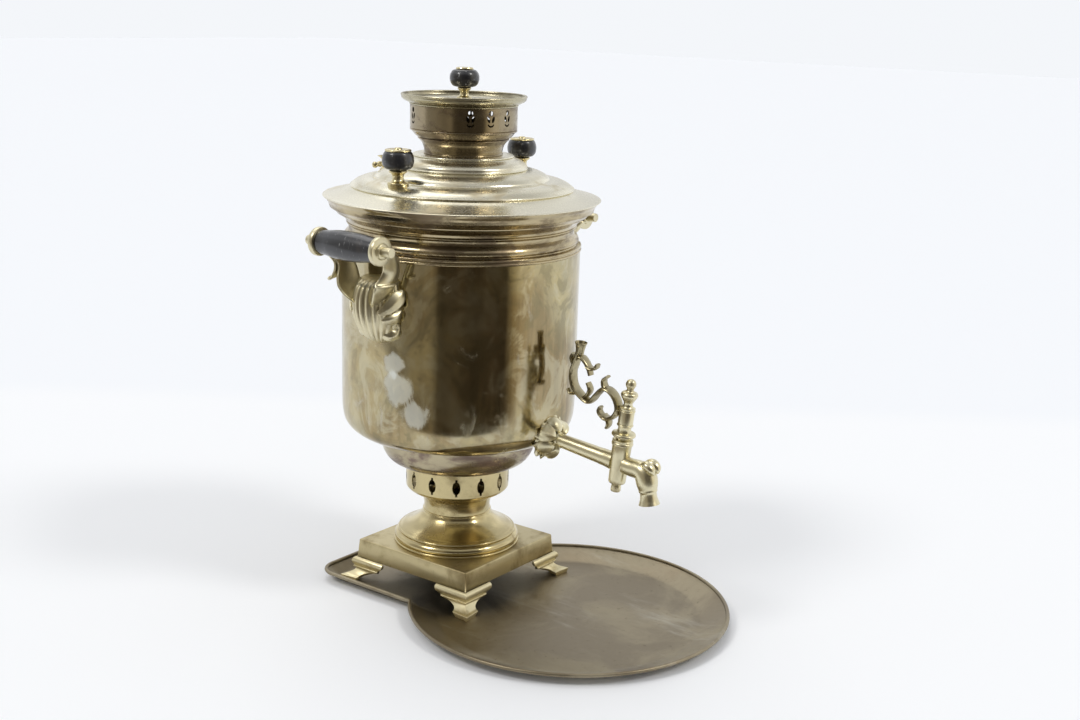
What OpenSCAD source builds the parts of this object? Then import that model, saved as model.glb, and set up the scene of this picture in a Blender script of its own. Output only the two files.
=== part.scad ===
// Charcoal samovar of about seven litres, standing on its keyhole-shaped drip tray.
// Millimetres. The origin is on the samovar's axis, on the table under the tray.
// +Z is up, the tap points to -Y and the two handles stand at -X and +X.

/* [Sheet and fits] */
// Thickness of the spun brass sheet
sheet_t = 1.2; // [0.8:0.1:1.6]
// Clearance on the radius of plugs, pins and bored wood
fit_gap = 0.05; // [0.02:0.01:0.1]
// Gap between pieces that lie close to each other
rest_gap = 0.3; // [0.2:0.1:0.5]

/* [Tray] */
// Thickness of the tray's sheet
tray_t = 1.2; // [0.8:0.1:2]
// Floor radius of the round end under the tap
tray_round_r = 130; // [120:1:136]
// Distance from the samovar's axis to the centre of the round end
tray_reach = 143; // [135:1:155]
// Width of the sloping rim round the round end
tray_slope = 25; // [15:1:30]
// Width of the sloping rim round the square end
tray_side_slope = 12; // [8:1:16]
// Clear floor outside the feet on each side
tray_margin = 1.6; // [1:0.2:6]
// Clear floor behind the back feet
tray_back_margin = 7.6; // [3:0.2:15]
// Height of the rim
tray_rim_h = 12; // [8:1:16]
// Height of the rolled edge
tray_edge_h = 3; // [2:0.1:4]
// How far the rolled edge stands out past the rim
tray_edge_out = 1; // [0.5:0.1:2]
// Corner radius of the square end's floor
tray_corner_r = 9; // [5:1:20]

/* [Base] */
// Height of the bracket feet
foot_h = 23.6; // [18:0.2:30]
// How far a toe reaches out past the plinth
toe_out = 11.9; // [8:0.1:14]
// Length of a foot's wing along the plinth
wing_l = 36; // [30:1:44]
// Casting thickness of the feet
foot_t = 5; // [4:0.5:7]
// Side of the plinth at its bottom
plinth_w = 143; // [134:1:152]
// Height of the plinth
plinth_h = 18.8; // [14:0.2:24]
// How much each side of the plinth leans in
plinth_batter = 1.5; // [0:0.1:3]
// Radius of the pedestal's flange
flange_r = 63.8; // [58:0.2:66]
// Height of the pedestal
pedestal_h = 44.6; // [38:0.2:52]
// Radius of the pedestal's neck
neck_r = 33.4; // [30:0.2:38]

/* [Vent ring] */
// Radius of the vent ring
vent_r = 51.8; // [48:0.2:56]
// Height of the vent ring
vent_h = 38.5; // [34:0.5:46]
// Number of air slots
slot_count = 13; // [9:1:15]
// Width of a slot
slot_w = 8.9; // [6:0.1:10]
// Height of a slot without its tabs
slot_h = 12; // [8:0.5:14]
// Width of a slot's tabs
tab_w = 3; // [2:0.1:4]
// Length of a slot's tabs
tab_l = 3.3; // [2:0.1:4]

/* [Body] */
// Outer radius of the body
body_r = 116; // [110:1:122]
// Height of the body from its bottom crease to its top edge
body_h = 187; // [170:1:220]
// Height of the bowl under the body
bowl_h = 31.5; // [26:0.5:36]
// Radius of the bowl where it meets the body
bowl_r = 78; // [72:0.5:82]
// Height of the moulded ring on top of the body
neck_h = 48.5; // [44:0.5:56]
// How far the top ring flares out past the body
flare_out = 17; // [12:0.5:20]
// Radius of the waist in the top ring
waist_r = 109.4; // [104:0.2:112]

/* [Fire tube] */
// Outer radius of the fire tube at its foot
tube_foot_r = 46; // [42:0.5:48]
// Outer radius of the fire tube at its top
tube_top_r = 32.5; // [28:0.5:33]
// How far the fire tube stands up inside the crown
tube_stand = 12; // [6:1:18]
// Thickness of the grate
grate_t = 5; // [3:0.5:8]
// Width of the grate's air slits
slit_w = 5; // [4:0.5:7]

/* [Lid] */
// Height of the lid
lid_h = 41.5; // [36:0.5:48]
// How far the lid's edge stands out past the top ring
lid_over = 1.4; // [0.5:0.1:3]
// Radius of the flat collar that carries the crown
collar_r = 48; // [44:0.5:52]
// Clearance between the fire tube and the lid's hole
lid_hole_gap = 2; // [1:0.25:3]
// Depth of the lid's locating skirt
skirt_h = 8; // [5:0.5:12]
// Distance from the lid's edge in to its knobs
knob_in = 41.4; // [40:0.2:43]

/* [Crown and cap] */
// Radius of the crown's foot
crown_foot_r = 37.3; // [37:0.1:40]
// Radius of the crown's pierced gallery
gallery_r = 51.4; // [48:0.2:54]
// Height of the crown's foot
crown_foot_h = 24.5; // [20:0.5:30]
// Height of the pierced gallery
gallery_h = 21.5; // [18:0.5:26]
// Height of the flared rim
rim_h = 10.5; // [9:0.5:14]
// How far the rim flares out past the gallery
rim_out = 9.1; // [6:0.1:12]
// Radius of the cap that closes the crown
cap_r = 50.8; // [48:0.2:52]

/* [Knobs] */
// Radius of the lid's wooden knobs
knob_r = 14.8; // [12:0.2:17]
// Height of the lid's wooden knobs
knob_h = 16.8; // [14:0.2:20]
// Radius of the cap's wooden knob
cap_knob_r = 14.2; // [12:0.2:17]
// Height of the brass stem under a lid knob
stem_h = 13.6; // [10:0.2:18]
// Height of the brass stem under the cap's knob
cap_stem_h = 11; // [8:0.2:15]
// Radius of the cup on top of a stem
cup_r = 8.2; // [6:0.1:9]
// Radius of the brass button on a lid knob
button_r = 12.2; // [9:0.1:13]
// Thickness of the brass buttons
button_h = 2.2; // [1.5:0.1:3]
// Radius of the rod through each knob
knob_rod_r = 2; // [1.5:0.1:3]

/* [Handles] */
// Distance from the axis to the centre of a grip
grip_x = 156.5; // [150:0.5:162]
// Height of the grips above the body's top edge
grip_rise = 17.8; // [10:0.2:24]
// Half the length of a wooden grip
grip_half = 34; // [30:0.5:40]
// Radius of a grip at its middle
grip_r = 13.5; // [11:0.5:15]
// Radius of a grip at its ends
grip_end_r = 10.8; // [9:0.2:12]
// Radius of the brass discs beside a grip
disc_r = 12.8; // [12:0.2:15]
// Thickness of the discs
disc_t = 7; // [5:0.5:9]
// Radius of the rod through a grip
rod_r = 4.2; // [3:0.1:5]
// How far the rod stands out past the discs
rod_out = 10; // [6:0.5:14]
// Height of a handle bracket's lower tip under the body's top edge
bracket_drop = 73; // [66:1:80]
// Half the width of a bracket's shell on the body
shell_w = 26.5; // [22:0.5:32]
// How far a bracket's shell stands out from the body
shell_out = 25.5; // [20:0.5:30]
// Half the width of a bracket's arm
arm_w = 13.5; // [10:0.5:16]
// Half the thickness of a bracket's arm
arm_t = 3.2; // [2.5:0.1:4.5]
// Radius of the studs that hold a bracket
stud_r = 2.5; // [2:0.1:3]

/* [Tap] */
// Height at which the tap's tube meets the body's axis, above the body's bottom crease
tap_rise = 29.3; // [28:0.1:34]
// Downward slope of the tap in degrees
tap_slope = 6.4; // [4:0.1:8]
// Distance from the body's axis to the key, along the tube
key_reach = 195.8; // [190:0.2:204]
// Radius of the tube at the body
tube_r = 6.4; // [6:0.1:7.5]
// Radius of the tube at the barrel
tube_end_r = 7.8; // [7:0.1:8.4]
// Radius of the water way
water_r = 4; // [3:0.1:4.4]
// Distance from the key to the spout's elbow
elbow_reach = 29.3; // [26:0.1:34]
// Radius of the spout at its elbow
spout_r = 9; // [8:0.1:10]
// Angle by which the spout turns down
spout_bend = 73.4; // [65:0.2:84]
// Length of the spout below the elbow
spout_l = 29; // [26:0.5:34]
// Radius of the rosette on the body
rosette_r = 19; // [16:0.5:22]
// Radius of the barrel at its top
barrel_r = 9.6; // [9:0.1:11]
// Radius of the key's plug at its top
plug_r = 6.4; // [6:0.1:7]
// Height of the barrel above the tube's axis
barrel_up = 23.8; // [20:0.2:26]
// Length of the barrel below the tube's axis
barrel_down = 19.6; // [17:0.2:24]
// Height of the key's stem and finial above the barrel
key_h = 58.6; // [50:0.5:66]
// Radius of the widest disc of the key's stem
key_disc_r = 11.3; // [10:0.1:13]
// Radius of the key's stem where the scroll handle is brazed on
key_stem_r = 7.2; // [6.8:0.1:8]
// Height of the nut under the barrel
key_nut_h = 7; // [5:0.5:9]
// Height of the scroll handle's trumpet above the tube's axis
scroll_h = 99; // [90:1:108]
// How far the scroll handle reaches from the key towards the body
scroll_l = 69.4; // [62:0.2:76]
// Width of the scroll handle's ribbon
scroll_w = 11; // [8:0.5:14]
// Thickness of the scroll handle's ribbon
scroll_t = 2.6; // [2:0.1:3.2]

/* [Steam vent] */
// Distance from the lid's edge in to the steam vent
vent_in = 45.4; // [44:0.2:47]
// Height of the steam vent
steam_h = 14; // [12:0.5:20]
// Radius of its trumpet mouth
steam_r = 7.3; // [5:0.1:9]

/* [Hidden] */
$fn = 96;
eps = 0.01;
foot_z = tray_t;
plinth_z = foot_z + foot_h;
pedestal_z = plinth_z + plinth_h;
vent_z = pedestal_z + pedestal_h;
bowl_z = vent_z + vent_h;
body_z = bowl_z + bowl_h;
neck_z = body_z + body_h;
lid_z = neck_z + neck_h;
crown_z = lid_z + lid_h;
gallery_z = crown_z + crown_foot_h;
rim_z = gallery_z + gallery_h;
flare_r = body_r + flare_out;
lid_r = flare_r + lid_over;
toe = plinth_w / 2 + toe_out;
lid_hole_r = tube_top_r + lid_hole_gap;
seat_in = 6;
wall_gap = 0.2;
neck_out = 0.9;
tray_in_x = toe + tray_margin;
tray_in_back = toe + tray_back_margin;
grip_z = neck_z + grip_rise;
tap_z = body_z + tap_rise;
vent_angle = 100;
knob_x = lid_r - knob_in;
vent_x = lid_r - vent_in;
ledge_in = 50.4;
cap_cup_r = 6.4;
cap_button_r = 8.4;
knob_foot_r = ledge_in - knob_in - 2 * wall_gap;
vent_foot_r = ledge_in - vent_in - 2 * wall_gap;
lid_flat_z = lid_z + 19;
tap_wall = body_r - 2.5;
saddle_in = tap_wall - 9.5;
saddle_r = tube_r + 4;
nut_h = 6;
tube_in = saddle_in - nut_h - 3;
socket = key_reach - barrel_r - 3;
elbow = key_reach + elbow_reach;
key_tail_r = 2.4;
vent_key_z = 6.4;
vent_plug_r = 1.8;
cap_z = rim_z + sheet_t;
cap_rise = 3.4;

// ---- outlines ----

// A smooth curve through the points p, with n steps between each two
function smooth(p, n = 4) = [
    for (i = [0 : len(p) - 2])
        let (a = p[max(i - 1, 0)], b = p[i], c = p[i + 1], d = p[min(i + 2, len(p) - 1)])
        for (k = [0 : n - 1])
            let (t = k / n)
            0.5 * (2 * b + (c - a) * t + (2 * a - 5 * b + 4 * c - d) * t * t
                + (3 * b - a - 3 * c + d) * t * t * t),
    p[len(p) - 1]
];

function unit(v) = v / norm(v);
function left_of(v) = [-v[1], v[0]];

// The path p moved to its left by t, mitred at each point
function beside(p, t) = [
    for (i = [0 : len(p) - 1])
        let (u = unit(p[min(i + 1, len(p) - 1)] - p[min(i, len(p) - 2)]),
             w = unit(p[max(i, 1)] - p[max(i - 1, 0)]),
             m = unit(left_of(u) + left_of(w)))
        p[i] + m * t / max(m * left_of(u), 0.6)
];

function backwards(p) = [for (i = [len(p) - 1 : -1 : 0]) p[i]];

// A turned piece whose outline runs up the axis side by side with p
module turned(p) rotate_extrude() polygon(concat([[0, p[0][1]]], p, [[0, p[len(p) - 1][1]]]));

// A spun shell of sheet metal: p is its outer outline, traced from bottom to top
module spun(p, t = sheet_t) rotate_extrude() polygon(concat(p, backwards(beside(p, t))));

// A flat ring lying on the plane z
module ring(z, r_in, r_out, h = sheet_t) {
    translate([0, 0, z])
        rotate_extrude()
            translate([r_in, 0])
                square([r_out - r_in, h]);
}

// A wire bead round a spun shell
module bead(z, r, wire) {
    translate([0, 0, z])
        rotate_extrude()
            translate([r, 0])
                circle(wire, $fn = 24);
}

// A flat ribbon of thickness t along the path p
module ribbon(p, t) polygon(concat(beside(p, t / 2), backwards(beside(p, -t / 2))));

// A closed skin through a stack of rings of points
module loft(rings) {
    n = len(rings[0]);
    last = (len(rings) - 1) * n;
    sides = [
        for (k = [0 : len(rings) - 2])
            for (i = [0 : n - 1])
                let (a = k * n + i, b = k * n + (i + 1) % n)
                each [[a, a + n, b + n], [a, b + n, b]]
    ];
    caps = [[for (i = [0 : n - 1]) i], [for (i = [n - 1 : -1 : 0]) last + i]];
    polyhedron([for (r = rings) each r], concat(sides, caps), convexity = 6);
}

function oval(c, rx, ry, n = 16) = [
    for (i = [0 : n - 1]) [c[0] + rx * cos(360 * i / n), c[1] + ry * sin(360 * i / n), c[2]]
];

// ---- tray ----

// The square end's outline, grown by out, at the height z
function square_end(out, z) = let (x = tray_in_x + out, y = tray_in_back + out, r = tray_corner_r + out) [
    [-x, -tray_reach, z], [x, -tray_reach, z],
    for (a = [0 : 15 : 90]) [x - r + r * cos(a), y - r + r * sin(a), z],
    for (a = [90 : 15 : 180]) [r - x + r * cos(a), y - r + r * sin(a), z]
];

// The space inside the tray's sloping rim up to the height h, as one solid
module tray_hollow(h) {
    translate([0, -tray_reach, 0])
        cylinder(h = h, r1 = tray_round_r, r2 = tray_round_r + tray_slope * h / tray_rim_h);
    loft([square_end(0, 0), square_end(tray_side_slope * h / tray_rim_h, h)]);
}

// The rolled edge of the tray, before the space inside it is cut away
module tray_edge() {
    z = tray_rim_h - tray_edge_h;
    translate([0, -tray_reach, z])
        cylinder(h = tray_edge_h, r = tray_round_r + tray_slope + tray_edge_out);
    loft([square_end(tray_side_slope + tray_edge_out, z),
          square_end(tray_side_slope + tray_edge_out, tray_rim_h)]);
}

module tray() {
    color([0.48, 0.45, 0.38])
        difference() {
            union() {
                tray_hollow(tray_rim_h);
                tray_edge();
            }
            translate([0, 0, tray_t])
                tray_hollow(tray_rim_h);
        }
}

// ---- base ----

module plinth() {
    h = plinth_h;
    w = plinth_w / 2;
    side = [[w, 0], [w - plinth_batter * 0.9, h - 1.6], [w - plinth_batter - 0.4, h - 0.5],
            [w - plinth_batter - 1.2, h]];
    outline = concat(side, [for (p = backwards(side)) [-p[0], p[1]]]);
    top_t = 2;
    color([0.72, 0.62, 0.38])
        translate([0, 0, plinth_z])
            difference() {
                intersection() {
                    rotate([90, 0, 0])
                        linear_extrude(2 * w, center = true)
                            polygon(outline);
                    rotate([90, 0, 90])
                        linear_extrude(2 * w, center = true)
                            polygon(outline);
                }
                translate([0, 0, (h - top_t) / 2 - eps])
                    cube([2 * (w - 4), 2 * (w - 4), h - top_t], center = true);
                cylinder(h = 3 * h, r = neck_r + 8, center = true);
            }
}

// How far the face of a foot stands out from the plinth, from the toe up
function foot_face() = concat(
    [[toe_out, 0], [toe_out, 4.2]],
    smooth([[toe_out - 0.8, 4.4], [7, 5.2], [3.2, 7.2], [1, 9.8], [0.5, 12.2]], 3),
    smooth([[1.8, 12.6], [2.6, 14.4], [2, 16.4]], 3),
    smooth([[3, 16.8], [3.7, 19.4], [2.8, 21.8], [0.6, foot_h]], 3)
);

// One wing of the foot at the corner (-x, -y), running along X
module foot_wing() {
    w = plinth_w / 2;
    face = [for (p = foot_face()) [-w - p[0], p[1]]];
    inner_end = [
        [-w - toe_out + 15, 0], [-w - toe_out + 15, 4.2], [-w + 8, 5.6], [-w + 12, 8.4],
        [-w + 16, 10.6], [-w + wing_l - 7, 11.8], [-w + wing_l - 5.5, 12.6],
        [-w + wing_l - 5, 16.4], [-w + wing_l - 1, 16.8], [-w + wing_l, foot_h]
    ];
    intersection() {
        rotate([90, 0, 90])
            translate([0, 0, -w - 20])
                linear_extrude(w)
                    polygon(concat(face, backwards([for (p = face) [p[0] + foot_t, p[1]]])));
        rotate([90, 0, 0])
            linear_extrude(4 * w, center = true)
                polygon(concat(face, backwards(inner_end)));
    }
}

module foot(turn) {
    color([0.74, 0.64, 0.38])
        translate([0, 0, foot_z])
            rotate([0, 0, turn]) {
                foot_wing();
                mirror([1, -1, 0])
                    foot_wing();
            }
}

module pedestal() {
    r = neck_r;
    h = pedestal_h;
    bell = [
        [flange_r - 6.8, 13.4], [flange_r - 11.6, 16.2], [r + 11.6, 20], [r + 7.6, 23],
        [r + 4.4, 26], [r + 2.1, 28.6], [r + 0.6, 31.4], [r, h - 10], [r, h - 6], [r + neck_out, h - 2]
    ];
    roll = [[flange_r - 2.2, 2.6], [flange_r - 0.9, 5.4], [flange_r - 1.4, 8.6], [flange_r - 4.6, 11.6]];
    color([0.78, 0.64, 0.33])
        translate([0, 0, pedestal_z]) {
            ring(0, flange_r - 8, flange_r, 2);
            spun(concat([[flange_r - 2.2, 0]], smooth(roll), smooth(bell), [[r + neck_out, h]]));
            bead(12.4, flange_r - 6, 1);
            bead(h - 12.3, r, 1.2);
            ring(h - sheet_t, r - seat_in, r + neck_out - sheet_t / 2);
        }
}

module slot() {
    cube([4 * seat_in, slot_w, slot_h], center = true);
    cube([4 * seat_in, tab_w, slot_h + 2 * tab_l], center = true);
}

module vent_ring() {
    r = vent_r;
    h = vent_h;
    curve = [
        [neck_r + neck_out, 0], [neck_r + 2.4, 3], [neck_r + 7, 6.2], [r - 5.9, 9], [r - 1.7, 11.6],
        [r - 0.4, 14.6], [r, 18]
    ];
    slot_z = 24.9;
    color([0.76, 0.64, 0.36])
        translate([0, 0, vent_z])
            difference() {
                union() {
                    spun(concat(smooth(curve), [[r, h]]));
                    ring(0, neck_r - seat_in, neck_r + neck_out - sheet_t / 2);
                    ring(h - sheet_t, r - seat_in, r - sheet_t / 2);
                }
                for (i = [0 : slot_count - 1])
                    rotate([0, 0, 218.5 + i * 360 / slot_count])
                        translate([r, 0, slot_z])
                            slot();
            }
}

// ---- body ----

function bowl_outline() = concat(
    [[vent_r - sheet_t / 2, 0]],
    smooth([[vent_r + 4, 0.5], [vent_r + 9.5, 2], [bowl_r - 11.6, 4.2], [bowl_r - 8, 6.5],
            [bowl_r - 5.2, 10], [bowl_r - 2.6, 14.6], [bowl_r - 0.8, 20.5], [bowl_r, bowl_h - 4]]),
    [[bowl_r, bowl_h]]
);

module bottom_bowl() {
    color([0.66, 0.55, 0.3])
        translate([0, 0, bowl_z]) {
            spun(bowl_outline());
            ring(0, tube_foot_r - 8, vent_r);
            ring(bowl_h - sheet_t, bowl_r - seat_in, bowl_r - sheet_t / 2);
        }
}

// Where the shoulder is soldered to the bottom and to the wall, each a butt joint
function low_seam(r) = [r - 8.9, 8.3];
function high_seam(r) = [r - 3.35, 15];

function bottom_curve(grow = 0) = let (r = body_r + grow) concat(
    [[bowl_r - seat_in, -grow]],
    smooth([[bowl_r, -grow], [r - 30, 0.8 - grow], [r - 23, 2 - grow], [r - 17, 3.8 - grow],
            [r - 12.4, 5.9 - grow], [r - 9.2, 8 - grow]])
);

function shoulder_curve(grow = 0) = let (r = body_r + grow)
    smooth([[r - 7.6, 9.6 - grow], [r - 5.9, 11.3 - grow / 2], [r - 4.4, 13]]);

function wall_curve(grow = 0) = let (r = body_r + grow) concat(
    smooth([[r - 2.3, 17], [r - 1, 22], [r - 0.3, 29], [r, 38]]),
    [[r, body_h + grow]]
);

module body_solid(grow) {
    translate([0, 0, body_z])
        rotate_extrude()
            polygon(concat([[0, -grow]], bottom_curve(grow), shoulder_curve(grow), wall_curve(grow),
                [[0, body_h + grow]]));
}

// The tap's hole. It crosses the seam between the shoulder and the wall
module tap_hole() {
    on_tap()
        translate([0, -body_r, 0])
            rotate([90, 0, 0])
                cylinder(h = 60, r = tube_r + wall_gap, center = true);
}

module body_bottom() {
    color([0.55, 0.49, 0.3])
        translate([0, 0, body_z])
            spun(concat(bottom_curve(), [low_seam(body_r)]));
}

module body_shoulder() {
    color([0.55, 0.49, 0.3])
        difference() {
            translate([0, 0, body_z])
                spun(concat([low_seam(body_r)], shoulder_curve(), [high_seam(body_r)]));
            tap_hole();
        }
}

module body_wall() {
    color([0.55, 0.49, 0.3])
        difference() {
            translate([0, 0, body_z]) {
                spun(concat([high_seam(body_r)], wall_curve()));
                ring(body_h - sheet_t, body_r - seat_in, body_r - sheet_t / 2);
            }
            tap_hole();
            for (s = [-1, 1])
                for (z = stud_heights())
                    translate([s * body_r, 0, z])
                        rotate([0, 90, 0])
                            cylinder(h = 20, r = stud_r + wall_gap, center = true);
        }
}

module top_ring() {
    r = body_r;
    f = flare_r;
    h = neck_h;
    w = waist_r;
    band = [[r, 0], [r, 6.6]];
    roll = smooth([[r - 4, 8], [r - 3.4, 10.4], [r - 2.8, 12.8], [w + 2.6, 15.4], [w + 0.2, 17.4]]);
    hollow = smooth([[w, 20], [w + 1.6, 22.6], [w + 3, 24.2]], 3);
    step = smooth([[w + 2.4, 25.4], [w + 5.8, 30], [f - 13.4, 33.6]], 3);
    flare = smooth([[f - 11.6, 35], [f - 8.4, 38.2], [f - 6.2, 39.6]], 3);
    lip = smooth([[f - 5.2, 40.6], [f - 3.4, 43.8], [f - 1.6, 46.6], [f, h - sheet_t]], 3);
    color([0.5, 0.42, 0.26])
        translate([0, 0, neck_z]) {
            spun(concat(band, roll, hollow, step, flare, lip, [[f, h]]));
            ring(0, r - seat_in, r - sheet_t / 2);
            bead(1.4, r, 1.2);
            bead(5.4, r, 1.1);
            ring(h - sheet_t, f - seat_in, f - sheet_t / 2);
        }
}

// ---- fire tube and grate ----

module fire_tube() {
    foot = bowl_z + sheet_t;
    rise = crown_z + tube_stand - foot;
    step = tube_foot_r - tube_top_r;
    color([0.45, 0.33, 0.2])
        translate([0, 0, foot])
            spun(concat(
                [[tube_foot_r, 0], [tube_foot_r, 30]],
                smooth([[tube_foot_r, 60], [tube_foot_r - 0.35 * step, rise * 0.45],
                        [tube_foot_r - 0.75 * step, rise * 0.65], [tube_top_r, rise * 0.8]]),
                [[tube_top_r, rise]]));
}

module grate() {
    r = tube_foot_r - sheet_t - 0.8;
    pitch = 2 * slit_w;
    rows = floor((r - slit_w) / pitch);
    color([0.2, 0.19, 0.18])
        translate([0, 0, bowl_z + sheet_t])
            difference() {
                cylinder(h = grate_t, r = r);
                for (i = [-rows : rows])
                    let (half = sqrt(pow(r - 5, 2) - pow(i * pitch, 2)))
                        translate([i * pitch, 0, 0])
                            cube([slit_w, 2 * half - slit_w, 3 * grate_t], center = true);
            }
}

// ---- tap ----

// The tap's own frame: -Y runs out along the tube, from the body's axis
module on_tap() {
    translate([0, 0, tap_z])
        rotate([tap_slope, 0, 0])
            children();
}

// A piece turned about the tube, from the distance y0 outwards
module along_tube(y0) {
    on_tap()
        translate([0, -y0, 0])
            rotate([90, 0, 0])
                children();
}

// A piece turned about the key
module along_key() {
    on_tap()
        translate([0, -key_reach, 0])
            children();
}

module tap_tube() {
    color([0.8, 0.74, 0.52])
        along_tube(0)
            rotate_extrude()
                polygon([[water_r, tube_in], [tube_r, tube_in], [tube_r, tap_wall + 12],
                         [tube_end_r, socket], [water_r, socket]]);
}

// Washer shaped to the inside of the body's shoulder
module tap_washer() {
    color([0.35, 0.22, 0.14])
        difference() {
            intersection() {
                along_tube(saddle_in)
                    cylinder(h = 20, r = saddle_r);
                body_solid(-sheet_t - rest_gap);
            }
            along_tube(saddle_in - 1)
                cylinder(h = 30, r = tube_r + fit_gap);
        }
}

module tap_nut() {
    color([0.7, 0.6, 0.36])
        along_tube(saddle_in - nut_h)
            difference() {
                cylinder(h = nut_h, r = saddle_r + 1, $fn = 6);
                translate([0, 0, -1])
                    cylinder(h = nut_h + 2, r = tube_r + fit_gap);
            }
}

module tap_rosette() {
    leaves = 7;
    r = rosette_r;
    back = tap_wall - 7.5;
    dome = smooth([[r, 10.5], [r - 0.6, 12.5], [r - 5, 15.1], [tube_r + 4, 16.1], [tube_r + 2.4, 19.5]], 3);
    color([0.78, 0.68, 0.46])
        difference() {
            along_tube(back)
                turned(concat([[r, 0]], dome));
            for (i = [0 : leaves - 1])
                along_tube(back - 1)
                    rotate([0, 0, 90 + (i + 0.5) * 360 / leaves])
                        translate([r + 1.6, 0, 0])
                            cylinder(h = 40, r = 4.4, $fn = 32);
            body_solid(wall_gap);
            along_tube(0)
                cylinder(h = 2 * tap_wall, r = tube_r + fit_gap);
        }
}

// The taper that the plug runs in, grown by gap
module plug_taper(gap, over = 0) {
    bottom_r = plug_r - 1.6;
    per_mm = (plug_r - bottom_r) / (barrel_up + barrel_down);
    translate([0, 0, -barrel_down - over])
        cylinder(h = barrel_up + barrel_down + 2 * over,
                 r1 = bottom_r - per_mm * over + gap, r2 = plug_r + per_mm * over + gap);
}

// A piece turned about the spout's end, which points down from the elbow
module nozzle(p) {
    along_tube(elbow)
        rotate([spout_bend, 0, 0])
            turned(p);
}

module tap_barrel() {
    top = barrel_up;
    r = barrel_r;
    end = spout_l;
    color([0.8, 0.76, 0.6])
        difference() {
            union() {
                along_key()
                    turned([[r - 2, -barrel_down], [r - 1.2, -barrel_down + 2], [r - 0.4, top - 6],
                            [r + 0.4, top - 4.5], [r + 0.6, top - 3], [r + 0.2, top - 1.2], [r - 0.8, top]]);
                along_tube(socket)
                    cylinder(h = key_reach - socket, r = tube_end_r);
                along_tube(key_reach)
                    cylinder(h = elbow - key_reach, r1 = spout_r - 0.6, r2 = spout_r);
                along_tube(elbow)
                    sphere(spout_r + 1, $fn = 64);
                nozzle(concat([[spout_r, 0]],
                    smooth([[spout_r, end - 23], [9.7, end - 20], [8, end - 13], [7.9, end - 10],
                            [9, end - 7], [9.9, end - 3.4], [9.4, end]], 3)));
            }
            along_key()
                plug_taper(fit_gap, 1);
            along_tube(socket - 1)
                cylinder(h = elbow - socket + 1, r = water_r);
            nozzle([[water_r - 0.3, -water_r - 1], [water_r - 0.3, end - 9], [7.4, end + 0.1]]);
        }
}

// The key above the barrel: disc, spool, stem, neck, cup and a small ball on top
function key_outline() = let (d = key_disc_r, s = key_stem_r, h = key_h) concat(
    [[plug_r, 0], [d - 4.6, 1], [d - 4.6, 2.4]],
    smooth([[d - 1.7, 2.8], [d, 4.8], [d - 1.5, 7]], 3),
    [[s - 0.6, 7.6], [s - 1, 12]],
    smooth([[s - 0.4, 13], [s + 0.5, 14.6], [s, 15.8]], 3),
    [[s, h - 31.2], [s + 0.4, h - 30.2], [s + 0.3, h - 27.6], [s - 1.2, h - 27]],
    smooth([[s - 3, h - 24.6], [s - 1.2, h - 19.6], [s + 0.7, h - 14.6]], 3),
    [[s - 0.6, h - 13]],
    smooth([[s - 3.8, h - 11.2], [s - 4, h - 9], [s - 2.6, h - 7], [s - 2.3, h - 4.7], [s - 3.4, h - 1.6],
            [0.4, h]], 3)
);

module tap_key() {
    top = barrel_up;
    tail = barrel_down + 1 + key_nut_h;
    color([0.76, 0.7, 0.5])
        along_key()
            difference() {
                union() {
                    plug_taper(0);
                    translate([0, 0, -tail])
                        cylinder(h = tail, r = key_tail_r);
                    turned([for (p = key_outline()) [p[0], top + p[1]]]);
                }
                rotate([90, 0, 0])
                    cylinder(h = 4 * plug_r, r = water_r - 0.4, center = true);
            }
}

module tap_key_nut() {
    color([0.72, 0.62, 0.4])
        along_key()
            translate([0, 0, -barrel_down - 1 - key_nut_h + rest_gap])
                difference() {
                    turned([[3.6, 0], [4.6, 0.8], [4.3, key_nut_h - 0.4], [3.8, key_nut_h]]);
                    translate([0, 0, -1])
                        cylinder(h = key_nut_h + 2, r = key_tail_r + fit_gap);
                }
}

// A curve of the scroll: distance from the key towards the body and height over the tube, as shares
function scroll_curve(p, n = 4) = smooth([for (q = p) [q[0] * scroll_l, q[1] * scroll_h]], n);

// The scroll handle's side view: the main ribbon, a curl that leans on it, and the curled leaf tips
module scroll_outline() {
    tip = [0.865, 1];
    main = [
        tip, [0.873, 0.91], [0.908, 0.81], [0.928, 0.71], [0.87, 0.586], [0.72, 0.505], [0.582, 0.488],
        [0.499, 0.576], [0.403, 0.66], [0.288, 0.657], [0.182, 0.592], [0.135, 0.505], [0.193, 0.42],
        [0.297, 0.384], [0.36, 0.4]
    ];
    curl = [[0.899, 0.838], [0.83, 0.883], [0.75, 0.855], [0.683, 0.804], [0.625, 0.741]];
    buds = [
        [[0.375, 0.667], [0.406, 0.707], [0.395, 0.768]], [[0.692, 0.509], [0.643, 0.566], [0.62, 0.646]],
        [[0.807, 0.545], [0.865, 0.511], [0.914, 0.489]], [[0.908, 0.828], [0.951, 0.832], [1, 0.814]],
        [[0.686, 0.808], [0.611, 0.804], [0.559, 0.838]], [[0.274, 0.386], [0.26, 0.35], [0.28, 0.313]],
        [[0.331, 0.39], [0.38, 0.382], [0.398, 0.354]]
    ];
    ribbon(scroll_curve(main), scroll_t);
    ribbon(scroll_curve(curl), scroll_t);
    translate([tip[0] * scroll_l, tip[1] * scroll_h])
        square([2 * scroll_t, 2], center = true);
    for (b = buds)
        ribbon(scroll_curve(b, 3), scroll_t * 0.8);
}

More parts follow.
